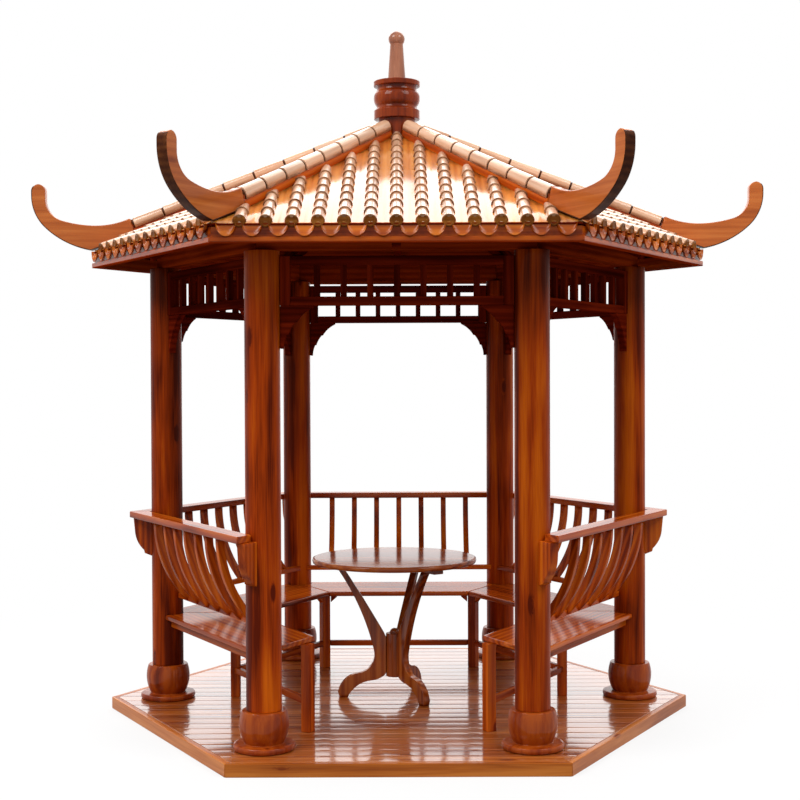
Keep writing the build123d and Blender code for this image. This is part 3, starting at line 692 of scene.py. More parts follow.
def make_under_roof():
    """Ring beam, hip and common rafters, and the six-sided king post."""
    beam_inner = column_face - ring_beam_width / 2
    beam_outer = column_face + ring_beam_width / 2
    beam = bay_member(beam_inner, beam_outer, column_top, ring_beam_top, rounding=0.004)
    build("mitred_ring_beam", turned_all([beam], BAYS.values()), soffit_timber,
          ["ring_beam"])
    hip_drop = board_drop + hip_rafter_width / 2 * tan(HALF_BAY) * hip_rise
    eave_back = eave_face - eave_board_thickness
    hip_outer = (eave_back - hip_rafter_width / 2 * sin(HALF_BAY)) / CORNER_SHARE
    hip_notch = ((beam_inner - hip_rafter_width / 2 * sin(HALF_BAY)) / CORNER_SHARE,
                 beam_outer / CORNER_SHARE)
    hip = notched_rafter(king_post_width / 2, hip_outer, lambda r: roof_height(r) - hip_drop,
                         hip_rafter_depth, hip_notch, hip_rafter_width)
    common_inner = common_rafter_width / 2 / tan(HALF_BAY) + hip_rafter_width / 2 / sin(HALF_BAY)
    common = notched_rafter(common_inner, eave_back, lambda r: roof_height_in_bay(r) - board_drop,
                            common_rafter_depth, (beam_inner, beam_outer), common_rafter_width)
    skins = turned_all([hip], CORNERS.values()) + turned_all([common], BAYS.values())
    build("roof_rafters", skins, frame_timber, ["rafters"])
    radius = king_post_width / 2 / CORNER_SHARE
    chamfer = king_post_chamfer
    post = lathe(eased(np.array([1j * king_post_foot, radius - chamfer + 1j * king_post_foot,
                                 radius + 1j * (king_post_foot + chamfer),
                                 radius + 1j * crown_height, 1j * crown_height]), 0.002), 6)
    build("six_sided_king_post", [turned_about_z(post, 30)], frame_timber,
          ["king_post"])


make_under_roof()

# Roof faces: pans of boards with rows of half-round tiles over their joints

roll_pitch = 0.111
roll_count = 13
tile_pitch = 0.112
tile_lap = 0.012
tile_foot_radius = 0.030
tile_head_radius = 0.023
pan_hollow = 0.004
pan_overhang = 0.009
hip_board_width = 0.054
eave_top = roof_height_in_bay(eave_face)


def on_slope(up, across, rise):
    """Points of the +X roof face: up the slope from the eave, across it, and square to it."""
    x = eave_face - up * cos(face_pitch) + rise * sin(face_pitch)
    z = eave_top + up * sin(face_pitch) + rise * cos(face_pitch)
    return np.stack([x, across, z], -1)


def hip_line(across, clearance):
    """How far up the slope the hip lies at a distance across the face."""
    run = np.maximum(np.abs(across) / tan(HALF_BAY) + clearance, crown_corner_radius * CORNER_SHARE)
    return (eave_face - run) / cos(face_pitch)


def half_round_tiles():
    """All half-round tiles of a face: an arch that narrows evenly from foot to head."""
    length = tile_pitch + tile_lap
    up = np.array([0.0, 0.0015, length - 0.004, length])
    inset = np.array([0.0015, 0.0, 0.0, 0.002])
    radius = tile_foot_radius + (tile_head_radius - tile_foot_radius) * up / length - inset
    return arches_on_rows(up, radius)


def tile_foot_painted_shades():
    """Painted shade: a thin dark arch just proud of the foot of every tile, standing in for the shadow
    there.
    """
    up = np.array([-0.0008, 0.0, 0.0035])
    radius = tile_foot_radius + np.array([-0.0006, 0.0006, 0.0004])
    return arches_on_rows(up, radius)


def arches_on_rows(up, radius):
    """An arch of radius r(t) on every row at every step, stopping beside the hip board."""
    rows = evenly_spaced(roll_count, roll_pitch)
    steps = np.arange(13) * tile_pitch
    across, start = (grid.ravel() for grid in np.meshgrid(rows, steps))
    there = start < hip_line(np.abs(across) + tile_foot_radius / 2, hip_board_width)
    across = across[there]
    start = start[there]
    angle = np.linspace(-0.53 * pi, 0.53 * pi, 11)
    sideways = across[:, None, None] + radius[:, None] * np.sin(angle)
    rise = np.broadcast_to(radius[:, None] * np.cos(angle), sideways.shape)
    place = np.broadcast_to(start[:, None, None] + up[:, None], sideways.shape)
    beside_board = hip_line(sideways, hip_board_width / 2 / sin(HALF_BAY) + 0.001)
    held = np.minimum(place, np.maximum(beside_board, start[:, None, None]))
    points = on_slope(held, sideways, rise)
    grain = np.stack([place - start[:, None, None], sideways - across[:, None, None], rise], -1)
    return points, grain


def roof_pans():
    """Pan boards up the slope, each a shallow hollow between two rows, cut along the hip."""
    edges = evenly_spaced(roll_count + 2, roll_pitch)
    edges[[0, -1]] = np.array([-1, 1]) * (eave_face * tan(HALF_BAY) - 0.001)
    share = np.array([0, 0.2, 0.4, 0.5, 0.6, 0.8, 1, 1, 0.5, 0])
    under = np.array([0, 0, 0, 0, 0, 0, 0, 1, 1, 1])
    width = np.diff(edges)[:, None] - 0.001
    across = edges[:-1, None] + 0.0005 + share * width
    dip = pan_hollow * (1 - (2 * share - 1) ** 2)
    rise = np.broadcast_to(np.where(under, soffit_thickness - roof_board_thickness, -dip),
                           across.shape)
    top = np.maximum(hip_line(across, 0.001), 0.002)
    foot = -pan_overhang * np.clip(top / 0.05, 0, 1)
    stations = np.array([0.0, 0.5, 1.0])[None, :, None]
    up = foot[:, None, :] + stations * (top - foot)[:, None, :]
    shape = up.shape
    across = np.broadcast_to(across[:, None, :], shape)
    rise = np.broadcast_to(rise[:, None, :], shape)
    return on_slope(up, across, rise), np.stack([up, across * 1.0, rise * 1.0], -1)


def soffit_boards():
    """Boards along the eave under the pans, each mitred on the hips: half length run tan 30."""
    edges = np.linspace(0.001, (eave_face - crown_corner_radius * CORNER_SHARE) / cos(face_pitch), 11)
    middle = (edges[1:] + edges[:-1]) / 2
    ring = rounded_ring(edges[1] - edges[0] - 0.002, soffit_thickness - 0.001, 0.001)
    up = middle[:, None, None] + ring[..., 0]
    rise = np.broadcast_to(ring[..., 1] - roof_board_thickness + soffit_thickness / 2, up.shape)
    run = eave_face - up * cos(face_pitch) + rise * sin(face_pitch)
    side = np.array([-1, 1])[:, None]
    across = side * mitre(run, 0.0005)
    up = np.broadcast_to(up, across.shape)
    rise = np.broadcast_to(rise, across.shape)
    return on_slope(up, across, rise), np.stack([across, up, rise], -1)


def make_roof_faces():
    """Six faces of pans and tiles, and the soffit boards under them all."""
    for bay, direction in BAYS.items():
        build(f"roof_pans_{bay}", turned_all([roof_pans()], [direction]), pan_timber,
              [f"roof_{bay}"])
        # Tiles in the pale timber, whose colour carries painted sheen.
        build(f"half_round_tiles_{bay}", turned_all([half_round_tiles()], [direction]),
              tile_painted_sheen_timber, [f"roof_{bay}"])
        # Painted shade: a dark arch over the foot of every tile.
        build(f"tile_foot_painted_shades_{bay}", turned_all([tile_foot_painted_shades()], [direction]), tile_foot_painted_shade_timber,
              [f"roof_{bay}"])
    build("soffit_boards", turned_all([soffit_boards()], BAYS.values()), soffit_timber,
          [f"roof_{bay}" for bay in BAYS])


make_roof_faces()

# Eaves: a board with a lip along its foot, drip tongues below the pans, a disc on each row's end

eave_strip_thickness = 0.003
eave_painted_shadow_size = 0.0085
tongue_half_width = 0.0425
tongue_drop = 0.057
tongue_thickness = 0.004
tongue_flare = 0.020
disc_radius = 0.0275
disc_thickness = 0.011


def drip_tongue():
    """Hanging half ellipse that flares like a shell: a share s of its depth below its top, of
    drop sqrt(1 - (y / half width) squared), it stands flare s squared out from the fascia."""
    y = -tongue_half_width * np.cos(np.linspace(0, pi, 17))[:, None]
    drop = tongue_drop * np.sqrt(np.maximum(1 - (y / tongue_half_width) ** 2, 0)) + 0.001
    share = np.linspace(0, 1, 7)
    down = np.concatenate([share, share[::-1]])
    front = np.repeat([1, 0], 7)
    run = eave_face - 0.001 + tongue_flare * down ** 2 + tongue_thickness * front
    run = np.broadcast_to(run, drop.shape[:1] + down.shape)
    points = np.stack([run, np.broadcast_to(y, run.shape), eave_top - 0.007 - drop * down], -1)
    return points, points[..., [1, 2, 0]]


def row_end_disc():
    """Disc on the end of a row: a rounded rim and a shallow hollow face, turned about X."""
    profile = eased(np.array([0, disc_radius, disc_radius + 1j * disc_thickness,
                              disc_radius * 0.72 + 1j * disc_thickness,
                              disc_radius * 0.6 + 0.8j * disc_thickness,
                              0.8j * disc_thickness]), 0.003)
    points = lathe(profile, 20)[0]
    out = points[..., [2, 0, 1]]
    return out + np.array([eave_face - 0.001, 0, eave_top + 0.001]), points[..., [0, 1, 2]]


def make_eaves():
    """Fascia boards with their lips on a thin dark strip, tongues and discs."""
    strip_top = eave_bottom + eave_strip_thickness
    fascia = bay_member(eave_face - eave_board_thickness, eave_face, strip_top,
                        eave_top - board_drop - CLEARANCE, rounding=0.002)
    lip = bay_member(eave_face, eave_face + eave_lip_projection, strip_top,
                     eave_bottom + eave_lip_depth, rounding=0.004)
    strip = bay_member(eave_face - eave_board_thickness, eave_face + eave_lip_projection,
                       eave_bottom, strip_top, rounding=0.001)
    tongues = [moved(drip_tongue(), 0, gap) for gap in evenly_spaced(roll_count + 1, roll_pitch)]
    discs = [moved(row_end_disc(), 0, row) for row in evenly_spaced(roll_count, roll_pitch)]
    build("fascia_and_lip", turned_all([fascia, lip], BAYS.values()), roof_timber,
          ["eave_boards"])
    build("eave_strip", turned_all([strip], BAYS.values()), soffit_timber,
          ["eave_boards"])
    build("drip_tongues", turned_all(tongues, BAYS.values()), tongue_timber,
          ["eave_boards"])
    build("row_end_discs", turned_all(discs, BAYS.values()), row_end_timber,
          ["eave_boards"])
    # Painted shadow: a dark bead under the ends of the pans stands in for the shadow between the pans
    # and the tongues.
    painted_shadow_bead = bay_member(eave_face, eave_face + eave_painted_shadow_size, eave_top - 2 * eave_painted_shadow_size,
                      eave_top - eave_painted_shadow_size, rounding=0.003)
    build("eave_painted_shadow_beads", turned_all([painted_shadow_bead], BAYS.values()), frame_timber,
          ["eave_boards"])


make_eaves()

# Hips: a board up each hip, with ridge covers on it that end at the upturned hip end

cover_radius = 0.034
cover_head_radius = 0.031
cover_skirt = 0.022
cover_lift = 0.051
cover_count = 8
cover_gap = 0.010
joint_bar_radius = 0.0275
horn_thickness = 0.05
horn_root_length = 0.236
horn_root = eave_corner_radius - horn_root_length
hip_board_length = (horn_root - pedestal_radius - 0.001) / cos(hip_pitch)


def on_hip(up, across, rise):
    """Points over the +X hip: up it from the horn's root, across it, and square to it."""
    x = horn_root - up * cos(hip_pitch) + rise * sin(hip_pitch)
    z = roof_height(horn_root) + up * sin(hip_pitch) + rise * cos(hip_pitch)
    return np.stack([x, across, z], -1)


def hip_bar(stations, radii):
    """Bar up a hip: a half circle of radius r(t) on straight skirts, flat underneath."""
    angle = np.linspace(-pi / 2, pi / 2, 21)
    angle = np.concatenate([angle[:1], angle, angle[-1:]])
    across = radii[:, None] * np.sin(angle)
    rise = radii[:, None] * np.cos(angle) + cover_lift
    rise[:, [0, -1]] = cover_lift - cover_skirt
    up = np.broadcast_to(stations[:, None], across.shape)
    return on_hip(up, across, rise), np.stack([up, across, rise], -1)


def ridge_cover(start, length):
    """Half-round cover with a skirt, a little wider at its foot than at its head."""
    up = np.array([0, 0.0025, length / 2, length - 0.003, length])
    middle = (cover_radius + cover_head_radius) / 2
    radii = np.array([cover_radius - 0.002, cover_radius, middle, cover_head_radius,
                      cover_head_radius - 0.002])
    return hip_bar(start + up, radii)


def hip_board():
    """Board on edge up the hip, from inside the roof's mitre to the underside of the covers."""
    up = np.array([0.0005, hip_board_length])
    low = -0.008
    ring = rounded_ring(hip_board_width, cover_lift - low, 0.002)
    across = np.broadcast_to(ring[:, 0], (2, len(ring)))
    rise = np.broadcast_to(ring[:, 1] + (cover_lift + low) / 2, across.shape)
    up = np.broadcast_to(up[:, None], across.shape)
    return on_hip(up, across, rise), np.stack([up, across, rise], -1)


def horn_outlines():
    """The two edges of an upturned hip end, by points out and up from the eave corner: over the
    saddle, neck and hollow to the throat, and along the hip, under the chin and up the back."""
    corner = eave_corner_radius + 1j * eave_height
    root_rise = horn_root_length * hip_rise
    root_height = (cover_lift + cover_radius) * cos(hip_pitch)
    root_foot = complex(-horn_root_length, root_rise - 0.006)
    root_top = complex(-horn_root_length + root_height * hip_rise, root_rise + root_height)
    saddle = -0.090 + 0.138j
    neck = 0 + 0.134j
    hollow = 0.150 + 0.160j
    throat = 0.234 + 0.262j
    toe = 0.006j
    chin = 0.236 + 0.124j
    nape = 0.306 + 0.288j
    saddle_turn = np.angle((neck - saddle) / (saddle - root_top))
    heading = (neck - root_top) * np.exp(1j * saddle_turn)
    shoulder = 0.312j
    tip_radius = 0.036
    tip_middle = 0.270 + shoulder
    front = [arc(root_top, neck, saddle_turn, 13)]
    front += smooth_arcs([neck, hollow, throat], heading, 13)
    front.append(straight(throat, throat.real + shoulder, 5))
    front.append(tip_middle + tip_radius * np.exp(1j * np.linspace(pi, pi / 2, 9)))
    down_the_back = smooth_arcs([nape, chin, toe], -1j, 13)
    back = [straight(root_foot, toe, 13), down_the_back[1][::-1], down_the_back[0][::-1],
            straight(nape, nape.real + shoulder, 5),
            tip_middle + tip_radius * np.exp(1j * np.linspace(0, pi / 2, 9))]
    return corner + joined(front), corner + joined(back)


def make_hips():
    """Hip boards, ridge covers with dark bars showing in the gaps between them, and upturned ends on
    the six hips, each with a dark band along its back that is a darker stain deepened into painted
    shade.
    """
    length = hip_board_length / cover_count
    covers = [ridge_cover(number * length + cover_gap, length - cover_gap)
              for number in range(cover_count)]
    # Ridge covers in the tiles' pale timber, whose colour carries painted sheen.
    build("ridge_covers", turned_all(covers, CORNERS.values()), tile_painted_sheen_timber,
          ["hip_covers"])
    # Dark bars under the ridge covers, seen as dark lines in the gaps between them.
    joint_bar = hip_bar(np.array([0.001, hip_board_length - 0.004]),
                        np.array([joint_bar_radius, joint_bar_radius]))
    build("ridge_joint_bars", turned_all([joint_bar], CORNERS.values()), disc_timber,
          ["hip_covers"])
    build("hip_boards", turned_all([hip_board()], CORNERS.values()), roof_timber,
          ["hip_covers"])
    front, back = horn_outlines()
    horn = board_between(front, back, horn_thickness, 0.006, ease=(1, 0))
    build("curled_hip_ends", turned_all([horn], CORNERS.values()), horn_timber,
          ["upturned_eaves"])
    # Dark band along the back edge of each hip end: partly a darker stain, partly painted shade for the
    # underside of the curl.
    outward = (back - front)[:-4] / np.abs(back - front)[:-4]
    edge = board_between(back[:-4] - 0.004 * outward, back[:-4] + 0.0008 * outward,
                         horn_thickness + 0.0012, 0.002, ease=(0, 0))
    build("hip_end_stain_and_painted_shade", turned_all([edge], CORNERS.values()), disc_timber,
          ["upturned_eaves"])


make_hips()

# Finial

def make_finial():
    """Turned finial: pedestal, collar, cove, belly, cove, domed cap, tapered spire and ball."""
    ball_radius = 0.042
    spire_top_radius = 0.033
    spire_top = ball_top - ball_radius - sqrt(ball_radius ** 2 - spire_top_radius ** 2)
    pedestal_foot = roof_height_in_bay(pedestal_radius)
    collar_foot = crown_height + 0.091
    collar_top = collar_foot + 0.045
    belly_foot = collar_top + 0.022
    belly_head = belly_foot + 0.069
    cap_foot = belly_head + 0.034
    cap_rim = cap_foot + 0.025
    spire_foot = cap_rim + 0.007
    foot = crown_height + CLEARANCE
    foot_radius = 0.07
    collar_radius = 0.1185
    cap_radius = 0.12
    collar_rim = collar_radius + 1j * collar_top
    lower_neck = 0.104 + 1j * belly_foot
    belly = 0.1195 + 1j * (belly_foot + belly_head) / 2
    shoulder = 0.1125 + 1j * belly_head
    upper_neck = 0.103 + 1j * cap_foot
    cap_edge = cap_radius + 1j * cap_rim
    spire_base = 0.046 + 1j * spire_foot
    runs = [
        np.array([1j * foot, foot_radius + 1j * foot, pedestal_radius + 1j * pedestal_foot,
                  pedestal_radius + 1j * collar_foot, collar_radius + 1j * collar_foot,
                  collar_rim]),
        arc_of_radius(collar_rim, lower_neck, -0.022),
        arc_by_way_of(lower_neck, belly, shoulder, 13),
        arc_of_radius(shoulder, upper_neck, -0.034),
        np.array([upper_neck, cap_radius + 1j * cap_foot, cap_edge]),
        arc_of_radius(cap_edge, spire_base, 0.24),
        np.array([spire_base, TINY + 1j * spire_foot])]
    build("turned_finial", [lathe(eased(joined(runs), 0.003), 72)], turned_timber,
          ["finial"], pith=(0.0, 0.03))
    spire = joined([
        np.array([1j * spire_foot, spire_base, spire_top_radius + 1j * spire_top]),
        arc_by_way_of(spire_top_radius + 1j * spire_top,
                      ball_radius + 1j * (ball_top - ball_radius), TINY + 1j * ball_top, 21)])
    # Spire and ball in the paler timber, whose colour carries painted sheen.
    build("finial_spire", [lathe(eased(spire, 0.003), 48)], spire_painted_sheen_timber,
          ["finial"], pith=(0.0, 0.02))


make_finial()

# Friezes and brackets

frieze_rail_depth = 0.04
frieze_stile_width = 0.047
frieze_thickness = 0.045
frieze_bar_width = 0.028
frieze_bar_count = 7
bracket_thickness = 0.035
bracket_reach = 0.15
bracket_step = 0.007


def frieze_skins():
    """Rails, stiles and bars of the +X frieze, each a straight plank across or upright."""
    across = (0, 1, 0)
    upright = (0, 0, 1)
    outward = (1, 0, 0)
    bar_pitch = (frieze_length - 2 * frieze_stile_width) / (frieze_bar_count + 1)
    opening = frieze_top - frieze_bottom - 2 * frieze_rail_depth
    middle = (frieze_top + frieze_bottom) / 2
    skins = []
    for height in (frieze_bottom + frieze_rail_depth / 2, frieze_top - frieze_rail_depth / 2):
        rail = plank(frieze_length - 2 * frieze_stile_width, frieze_thickness, frieze_rail_depth)
        skins.append(placed(rail, (column_face, 0, height), across, (-1, 0, 0)))
    for side in (-1, 1):
        stile = plank(frieze_top - frieze_bottom, frieze_stile_width, frieze_thickness)
        y = side * (frieze_length - frieze_stile_width) / 2
        skins.append(placed(stile, (column_face, y, middle), upright, across))
    for y in evenly_spaced(frieze_bar_count, bar_pitch):
        bar = plank(opening + 0.004, frieze_bar_width, frieze_bar_width, 0.002)
        skins.append(placed(bar, (column_face, y, middle), upright, across))
    return skins


def bracket_skin():
    """Scalloped bracket: three arcs that step down to the column, hung from the frieze."""
    edge = frieze_length / 2 - CLEARANCE
    drop = frieze_bottom - bracket_foot

    def point(out, down):
        return complex(edge - out * bracket_reach, frieze_bottom - down * drop)

    ends = [point(0.5, 0.38), point(0.24, 0.68), point(0.1, 1)]
    starts = [point(1, 0.036), ends[0] + bracket_step, ends[1] + bracket_step]
    lower = [arc_of_radius(start, end, -bracket_reach, 9) for start, end in zip(starts, ends)]
    outline = np.concatenate(lower + [np.array([point(0, 1)])])
    top = outline.real + 1j * frieze_bottom
    return into_bay(board_between(top, outline, bracket_thickness, 0.003), column_face)


def make_friezes():
    """Six friezes and twelve brackets."""
    for bay, direction in BAYS.items():
        build(f"openwork_frieze_{bay}", turned_all(frieze_skins(), [direction]), frame_timber,
              [f"frieze_{bay}"])
    build("scalloped_brackets", turned_all(mirrored_pair(bracket_skin()), BAYS.values()),
          frame_timber, ["corner_brackets"])


make_friezes()

# Benches

leg_ring_radius = 0.852
leg_face = leg_ring_radius * CORNER_SHARE
leg_width = 0.048
leg_clearance = leg_width / 2 + CLEARANCE
bearer_depth = 0.038
bearer_width = 0.024
block_reach = 0.036
block_drop = 0.04
block_nose = 0.01
stretcher_width = 0.03
stretcher_height = 0.2
low_rail_inset = 0.044
low_rail_depth = 0.027
low_rail_width = 0.03
high_rail_depth = 0.032
high_rail_width = 0.09
slat_count = 7
slat_pitch = 0.134
slat_width = 0.03
slat_depth = 0.035
corbel_reach = 0.092
corbel_thickness = 0.042


def bench_rail_skins():
    """Stretcher, bearer and small corner blocks of the +X bay."""
    stretcher = bay_member(leg_face - stretcher_width / 2, leg_face + stretcher_width / 2,
                           stretcher_height - stretcher_width / 2,
                           stretcher_height + stretcher_width / 2, clearance=leg_clearance)
    rail = placed(plank(frieze_length, bearer_width, bearer_depth - 0.0005),
                  (column_face, 0, seat_bottom - bearer_depth / 2), (0, 1, 0), (-1, 0, 0))
    end = float(mitre(leg_face - bearer_width / 2, leg_clearance))
    across = np.linspace(end - block_reach, end, 5)
    top = across + 1j * (seat_bottom - 0.0005)
    slope = across - 1j * np.linspace(block_nose, block_drop, 5) + 1j * seat_bottom
    block = into_bay(board_between(top, slope, bearer_width, 0.002), leg_face)
    return [stretcher, rail] + mirrored_pair(block)


def bench_back_skins():
    """Low rail, high rail and bowed slats of the +X bay. A slat lies between two arcs about one
    centre, from plumb under the high rail down to the low rail."""
    low_face = column_face - low_rail_inset
    high_inner = column_face + column_radius + CLEARANCE
    high_bottom = high_rail_top - high_rail_depth
    low_rail = bay_member(low_face - low_rail_width / 2, low_face + low_rail_width / 2,
                          low_rail_bottom, low_rail_bottom + low_rail_depth, ends=saddled)
    high_rail = bay_member(high_inner, high_inner + high_rail_width, high_bottom, high_rail_top,
                           rounding=0.004)
    top_face = high_inner + high_rail_width / 2
    rise = high_bottom - low_rail_bottom - low_rail_depth / 2
    lean = top_face - low_face
    radius = (rise ** 2 + lean ** 2) / (2 * lean)
    centre = complex(top_face - radius, high_bottom)
    sweep = np.exp(-1j * np.linspace(0, atan(rise / (radius - lean)), 17))
    slat = board_between(centre + (radius + slat_depth / 2) * sweep,
                         centre + (radius - slat_depth / 2) * sweep, slat_width, 0.003,
                         lie=radians(70), ease=(0, 0))
    slats = [moved(slat, 0, y) for y in evenly_spaced(slat_count, slat_pitch)]
    return [low_rail, high_rail] + slats


def corbel_skin():
    """Corbel outside a column: from a square top, past a nose and a full belly to a small foot."""
    drop = high_rail_top - high_rail_depth - corbel_bottom

    def point(out, down):
        return complex(column_ring_radius + column_radius + out * corbel_reach,
                       high_rail_top - high_rail_depth - down * drop)

    nose = point(0.93, 0.33)
    belly = point(0.78, 0.62)
    chin = point(0.42, 0.85)
    front = np.concatenate([straight(point(1, 0), nose, 5), arc_by_way_of(nose, belly, chin, 11)[1:],
                            np.array([point(0.38, 0.93), point(0.02, 1)])])
    back = column_ring_radius + sqrt(column_radius ** 2 - corbel_thickness ** 2 / 4)
    return board_between(front, back - 0.001 + 1j * front.imag, corbel_thickness, 0.003,
                         lie=pi / 2)


def make_benches():
    """Five benches with their backs, the legs, rails and corbels."""
    seat = bay_member(seat_inner_face, seat_outer_face, seat_bottom, seat_top, rounding=0.007,
                      ends=saddled, spans=40)
    low_rail, high_rail, *slats = bench_back_skins()
    for bay in BENCH_BAYS:
        build(f"seat_board_{bay}", turned_all([seat], [BAYS[bay]]), seat_timber,
              [f"bench_seat_{bay}"])
        build(f"high_rail_{bay}", turned_all([high_rail], [BAYS[bay]]), seat_timber,
              [f"bench_back_{bay}"])
        build(f"slatted_back_{bay}", turned_all([low_rail] + slats, [BAYS[bay]]), bench_timber,
              [f"bench_back_{bay}"])
    leg = placed(plank(seat_bottom - deck_top - 0.0005, leg_width, leg_width),
                 (leg_ring_radius, 0, (seat_bottom + deck_top) / 2), (0, 0, 1), (0, 1, 0))
    build("square_bench_legs", turned_all([leg], CORNERS.values()), bench_timber,
          ["bench_legs"])
    build("bench_bearers", turned_all(bench_rail_skins(), [BAYS[bay] for bay in BENCH_BAYS]),
          bench_timber, ["bench_rails"])
    build("saddled_corbels", turned_all([corbel_skin()], CORNERS.values()), bench_timber,
          ["back_corbels"])


make_benches()

# Table

table_top_thickness = 0.028
batten_thickness = 0.02
batten_length = 0.4
batten_width = 0.056
table_leg_directions = (64, 184, 304)
table_leg_thickness = 0.036
hub_radius = 0.045
hub_knob_radius = 0.026
hub_height = 0.225


def table_leg_skin():
    """Bowed leg: head under the batten, waist against the hub, splayed and curled foot."""
    head = batten_bottom - deck_top
    waist_foot = complex(hub_radius, 0.121)
    waist_head = complex(hub_radius, 0.316)
    front_head = complex(0.302, head)
    thigh = 0.176 + 0.450j
    waist = 0.108 + 0.240j
    shin = 0.190 + 0.125j
    toe = 0.296 + 0.026j
    heel = 0.246 + 0j
    arch_crown = 0.206 + 0.052j
    instep = 0.120 + 0.086j
    calf_bow = 0.120 + 0.444j
    thigh_turn = np.angle((waist - thigh) / (thigh - front_head))
    heading = (waist - front_head) * np.exp(1j * thigh_turn)
    front = joined([arc(front_head, waist, thigh_turn, 21)]
                   + smooth_arcs([waist, shin, toe], heading, 11) + [straight(toe, 0.288 + 0j, 3)])
    arch = arc_by_way_of(heel, arch_crown, instep, 11)
    arch_turn = np.angle((instep - arch_crown) / (arch_crown - heel))
    ankle_heading = (instep - heel) * np.exp(1j * arch_turn)
    ankle = smooth_arcs([instep, waist_foot], ankle_heading, 11)[0]
    calf = arc_by_way_of(waist_head, calf_bow, complex(0.268, head), 21)
    back = joined([calf[::-1], straight(waist_head, waist_foot, 11), ankle[::-1], arch[::-1]])
    share = np.linspace(0, 1, len(front))
    own_share = np.linspace(0, 1, len(back))
    back = np.interp(share, own_share, back.real) + 1j * np.interp(share, own_share, back.imag)
    return board_between(front + 1j * deck_top, back + 1j * deck_top, table_leg_thickness, 0.003,
                         lie=pi / 2, ease=(0, 0))


def make_table():
    """Round top on three battens, bowed legs and a turned hub with a knob."""
    underside = table_height - table_top_thickness
    top = lathe(eased(np.array([1j * underside, table_radius + 1j * underside,
                                table_radius + 1j * table_height, 1j * table_height]), 0.011), 96)
    skins = [(top[0] + np.array([table_centre, 0, 0]), top[0])]
    for direction in table_leg_directions:
        batten = placed(plank(batten_length, batten_width, batten_thickness, 0.003),
                        (batten_length / 2, 0, batten_bottom + batten_thickness / 2))
        skins.append(moved(turned_about_z(batten, direction), table_centre))
    build("round_table_top", skins, table_timber, ["table_top"])
    legs = [moved(turned_about_z(table_leg_skin(), direction), table_centre)
            for direction in table_leg_directions]
    build("bowed_table_legs", legs, table_timber, ["table_legs"])
    hub_top = hub_bottom + hub_height
    knob = arc(hub_knob_radius + 1j * hub_top, 1j * (hub_top + hub_knob_radius), pi / 4, 13)
    hub = joined([np.array([1j * hub_bottom, hub_radius + 1j * hub_bottom,
                            hub_radius + 1j * hub_top, hub_knob_radius + 1j * hub_top]), knob])
    build("turned_table_hub", [moved(lathe(eased(hub, 0.004)), table_centre)], table_timber,
          ["table_hub"], pith=(0.0, 0.02))


make_table()

# Studio: pale floor, white surroundings and soft lamps

def make_floor():
    """Floor that reads white to the camera and in gloss but keeps a soft shadow, and that gives
    little light back to the undersides."""
    size = 60
    mesh = bpy.data.meshes.new("studio_floor")
    corners = [(-size, -size, 0), (size, -size, 0), (size, size, 0), (-size, size, 0)]
    mesh.from_pydata(corners, [], [(0, 1, 2, 3)])
    floor = add_object("studio_floor", mesh)
    material = bpy.data.materials.new("studio_floor")
    tree = emptied_tree(material)
    pale = add_node(tree, "ShaderNodeBsdfDiffuse", {"Color": (0.9, 0.9, 0.9, 1)}).outputs[0]
    white = add_node(tree, "ShaderNodeEmission", {"Color": (1, 1, 1, 1)}).outputs[0]
    dim = add_node(tree, "ShaderNodeBsdfDiffuse", {"Color": (0.3, 0.3, 0.3, 1)}).outputs[0]
    place = add_node(tree, "ShaderNodeTexCoord").outputs["Object"]
    away = add_node(tree, "ShaderNodeVectorMath", {0: place}, operation="LENGTH").outputs["Value"]
    share = add_node(tree, "ShaderNodeMapRange", {
        "Value": away, "From Min": 1.6, "From Max": 4.0, "To Min": 0.8, "To Max": 1.0},
        interpolation_type="SMOOTHSTEP").outputs[0]
    shown = add_node(tree, "ShaderNodeMixShader", {0: share, 1: pale, 2: white}).outputs[0]
    surface = add_node(tree, "ShaderNodeMixShader", {0: seen_directly(tree), 1: dim, 2: shown})
    add_node(tree, "ShaderNodeOutputMaterial", {"Surface": surface.outputs[0]})
    mesh.materials.append(material)


def seen_directly(tree):
    """1 on camera, glossy and transmission rays, and 0 on the rest."""
    rays = add_node(tree, "ShaderNodeLightPath").outputs
    seen = weighted_sum(tree, [(rays["Is Camera Ray"], 1.0), (rays["Is Glossy Ray"], 1.0),
                               (rays["Is Transmission Ray"], 1.0)])
    return add_node(tree, "ShaderNodeMath", {0: seen, 1: 1.0}, operation="MINIMUM").outputs[0]


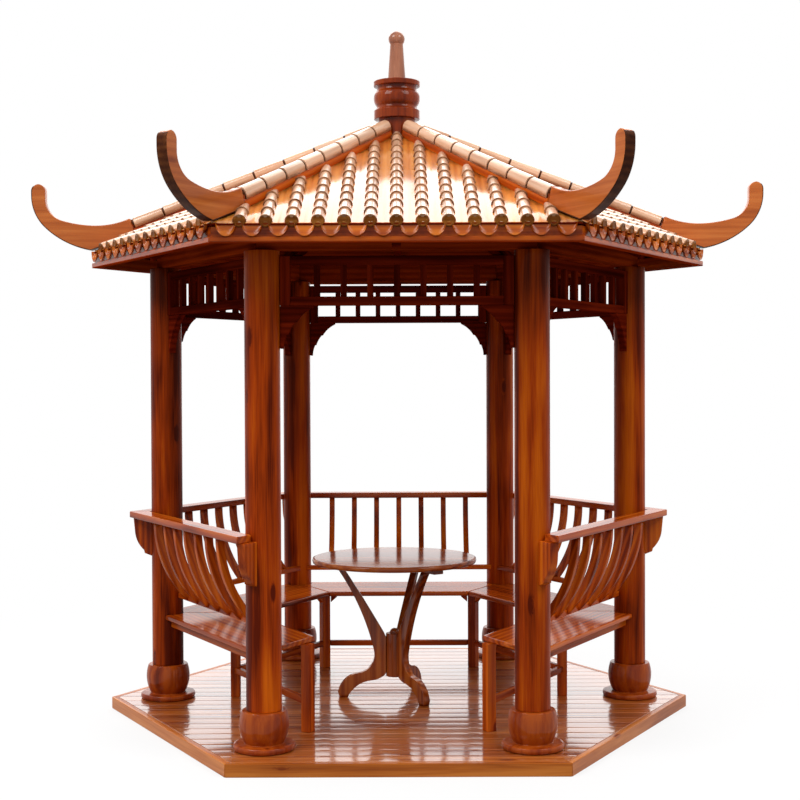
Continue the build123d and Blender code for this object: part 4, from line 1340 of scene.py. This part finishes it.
def make_world(light):
    """White surroundings at strength 1 where they are seen, and a plain level of light from them."""
    world = bpy.data.worlds.new("studio")
    bpy.context.scene.world = world
    tree = emptied_tree(world)
    shown = add_node(tree, "ShaderNodeBackground", {"Color": (1, 1, 1, 1), "Strength": 1.0})
    lit = add_node(tree, "ShaderNodeBackground", {"Color": (1, 1, 1, 1), "Strength": light})
    mixed = add_node(tree, "ShaderNodeMixShader", {0: seen_directly(tree), 1: lit.outputs[0],
                                                   2: shown.outputs[0]})
    add_node(tree, "ShaderNodeOutputWorld", {"Surface": mixed.outputs[0]})


def place_object(thing, across, up, back, place):
    """Sets an object's place and its three axes."""
    axes = np.eye(4)
    axes[:3] = np.stack([across, up, back, np.array(place, float)], -1)
    thing.matrix_world = Matrix(axes.tolist())


def make_lamp(name, place, target, size, power):
    """Soft rectangular lamp that faces a point."""
    data = bpy.data.lights.new(name, "AREA")
    data.shape = "RECTANGLE"
    data.size = size[0]
    data.size_y = size[1]
    data.energy = power
    lamp = add_object(name, data)
    away = np.array(place, float) - np.array(target, float)
    away /= np.linalg.norm(away)
    side = np.cross((0, 0, 1), away)
    side = side / np.linalg.norm(side)
    place_object(lamp, side, np.cross(away, side), away, place)
    lamp.visible_camera = False


def make_camera():
    """Camera where the photograph was taken: its place, and how it was turned, tipped and rolled."""
    place = (0.019, -7.3844, 1.729)
    yaw, pitch, roll = radians(0.063), radians(-0.962), radians(-0.208)
    forward = np.array([-sin(yaw) * cos(pitch), cos(yaw) * cos(pitch), sin(pitch)])
    level = np.array([cos(yaw), sin(yaw), 0])
    upright = np.cross(level, forward)
    data = bpy.data.cameras.new("camera")
    data.sensor_width = 36
    data.lens = 63.84
    camera = add_object("camera", data)
    place_object(camera, cos(roll) * level + sin(roll) * upright,
                 -sin(roll) * level + cos(roll) * upright, -forward, place)
    bpy.context.scene.camera = camera


make_floor()
make_world(0.5)
make_lamp("left_lamp", (-6, -5, 9), (0, 0, 1.5), (5, 5), 700)
make_lamp("right_lamp", (6, -5, 9), (0, 0, 1.5), (5, 5), 500)
make_lamp("top_lamp", (0, 7, 10), (0, 0, 2), (12, 8.5), 800)
make_lamp("back_lamp", (0, 14, 3.5), (0, 0, 1), (20, 6), 340)
make_camera()
bpy.context.scene.view_settings.view_transform = "Standard"
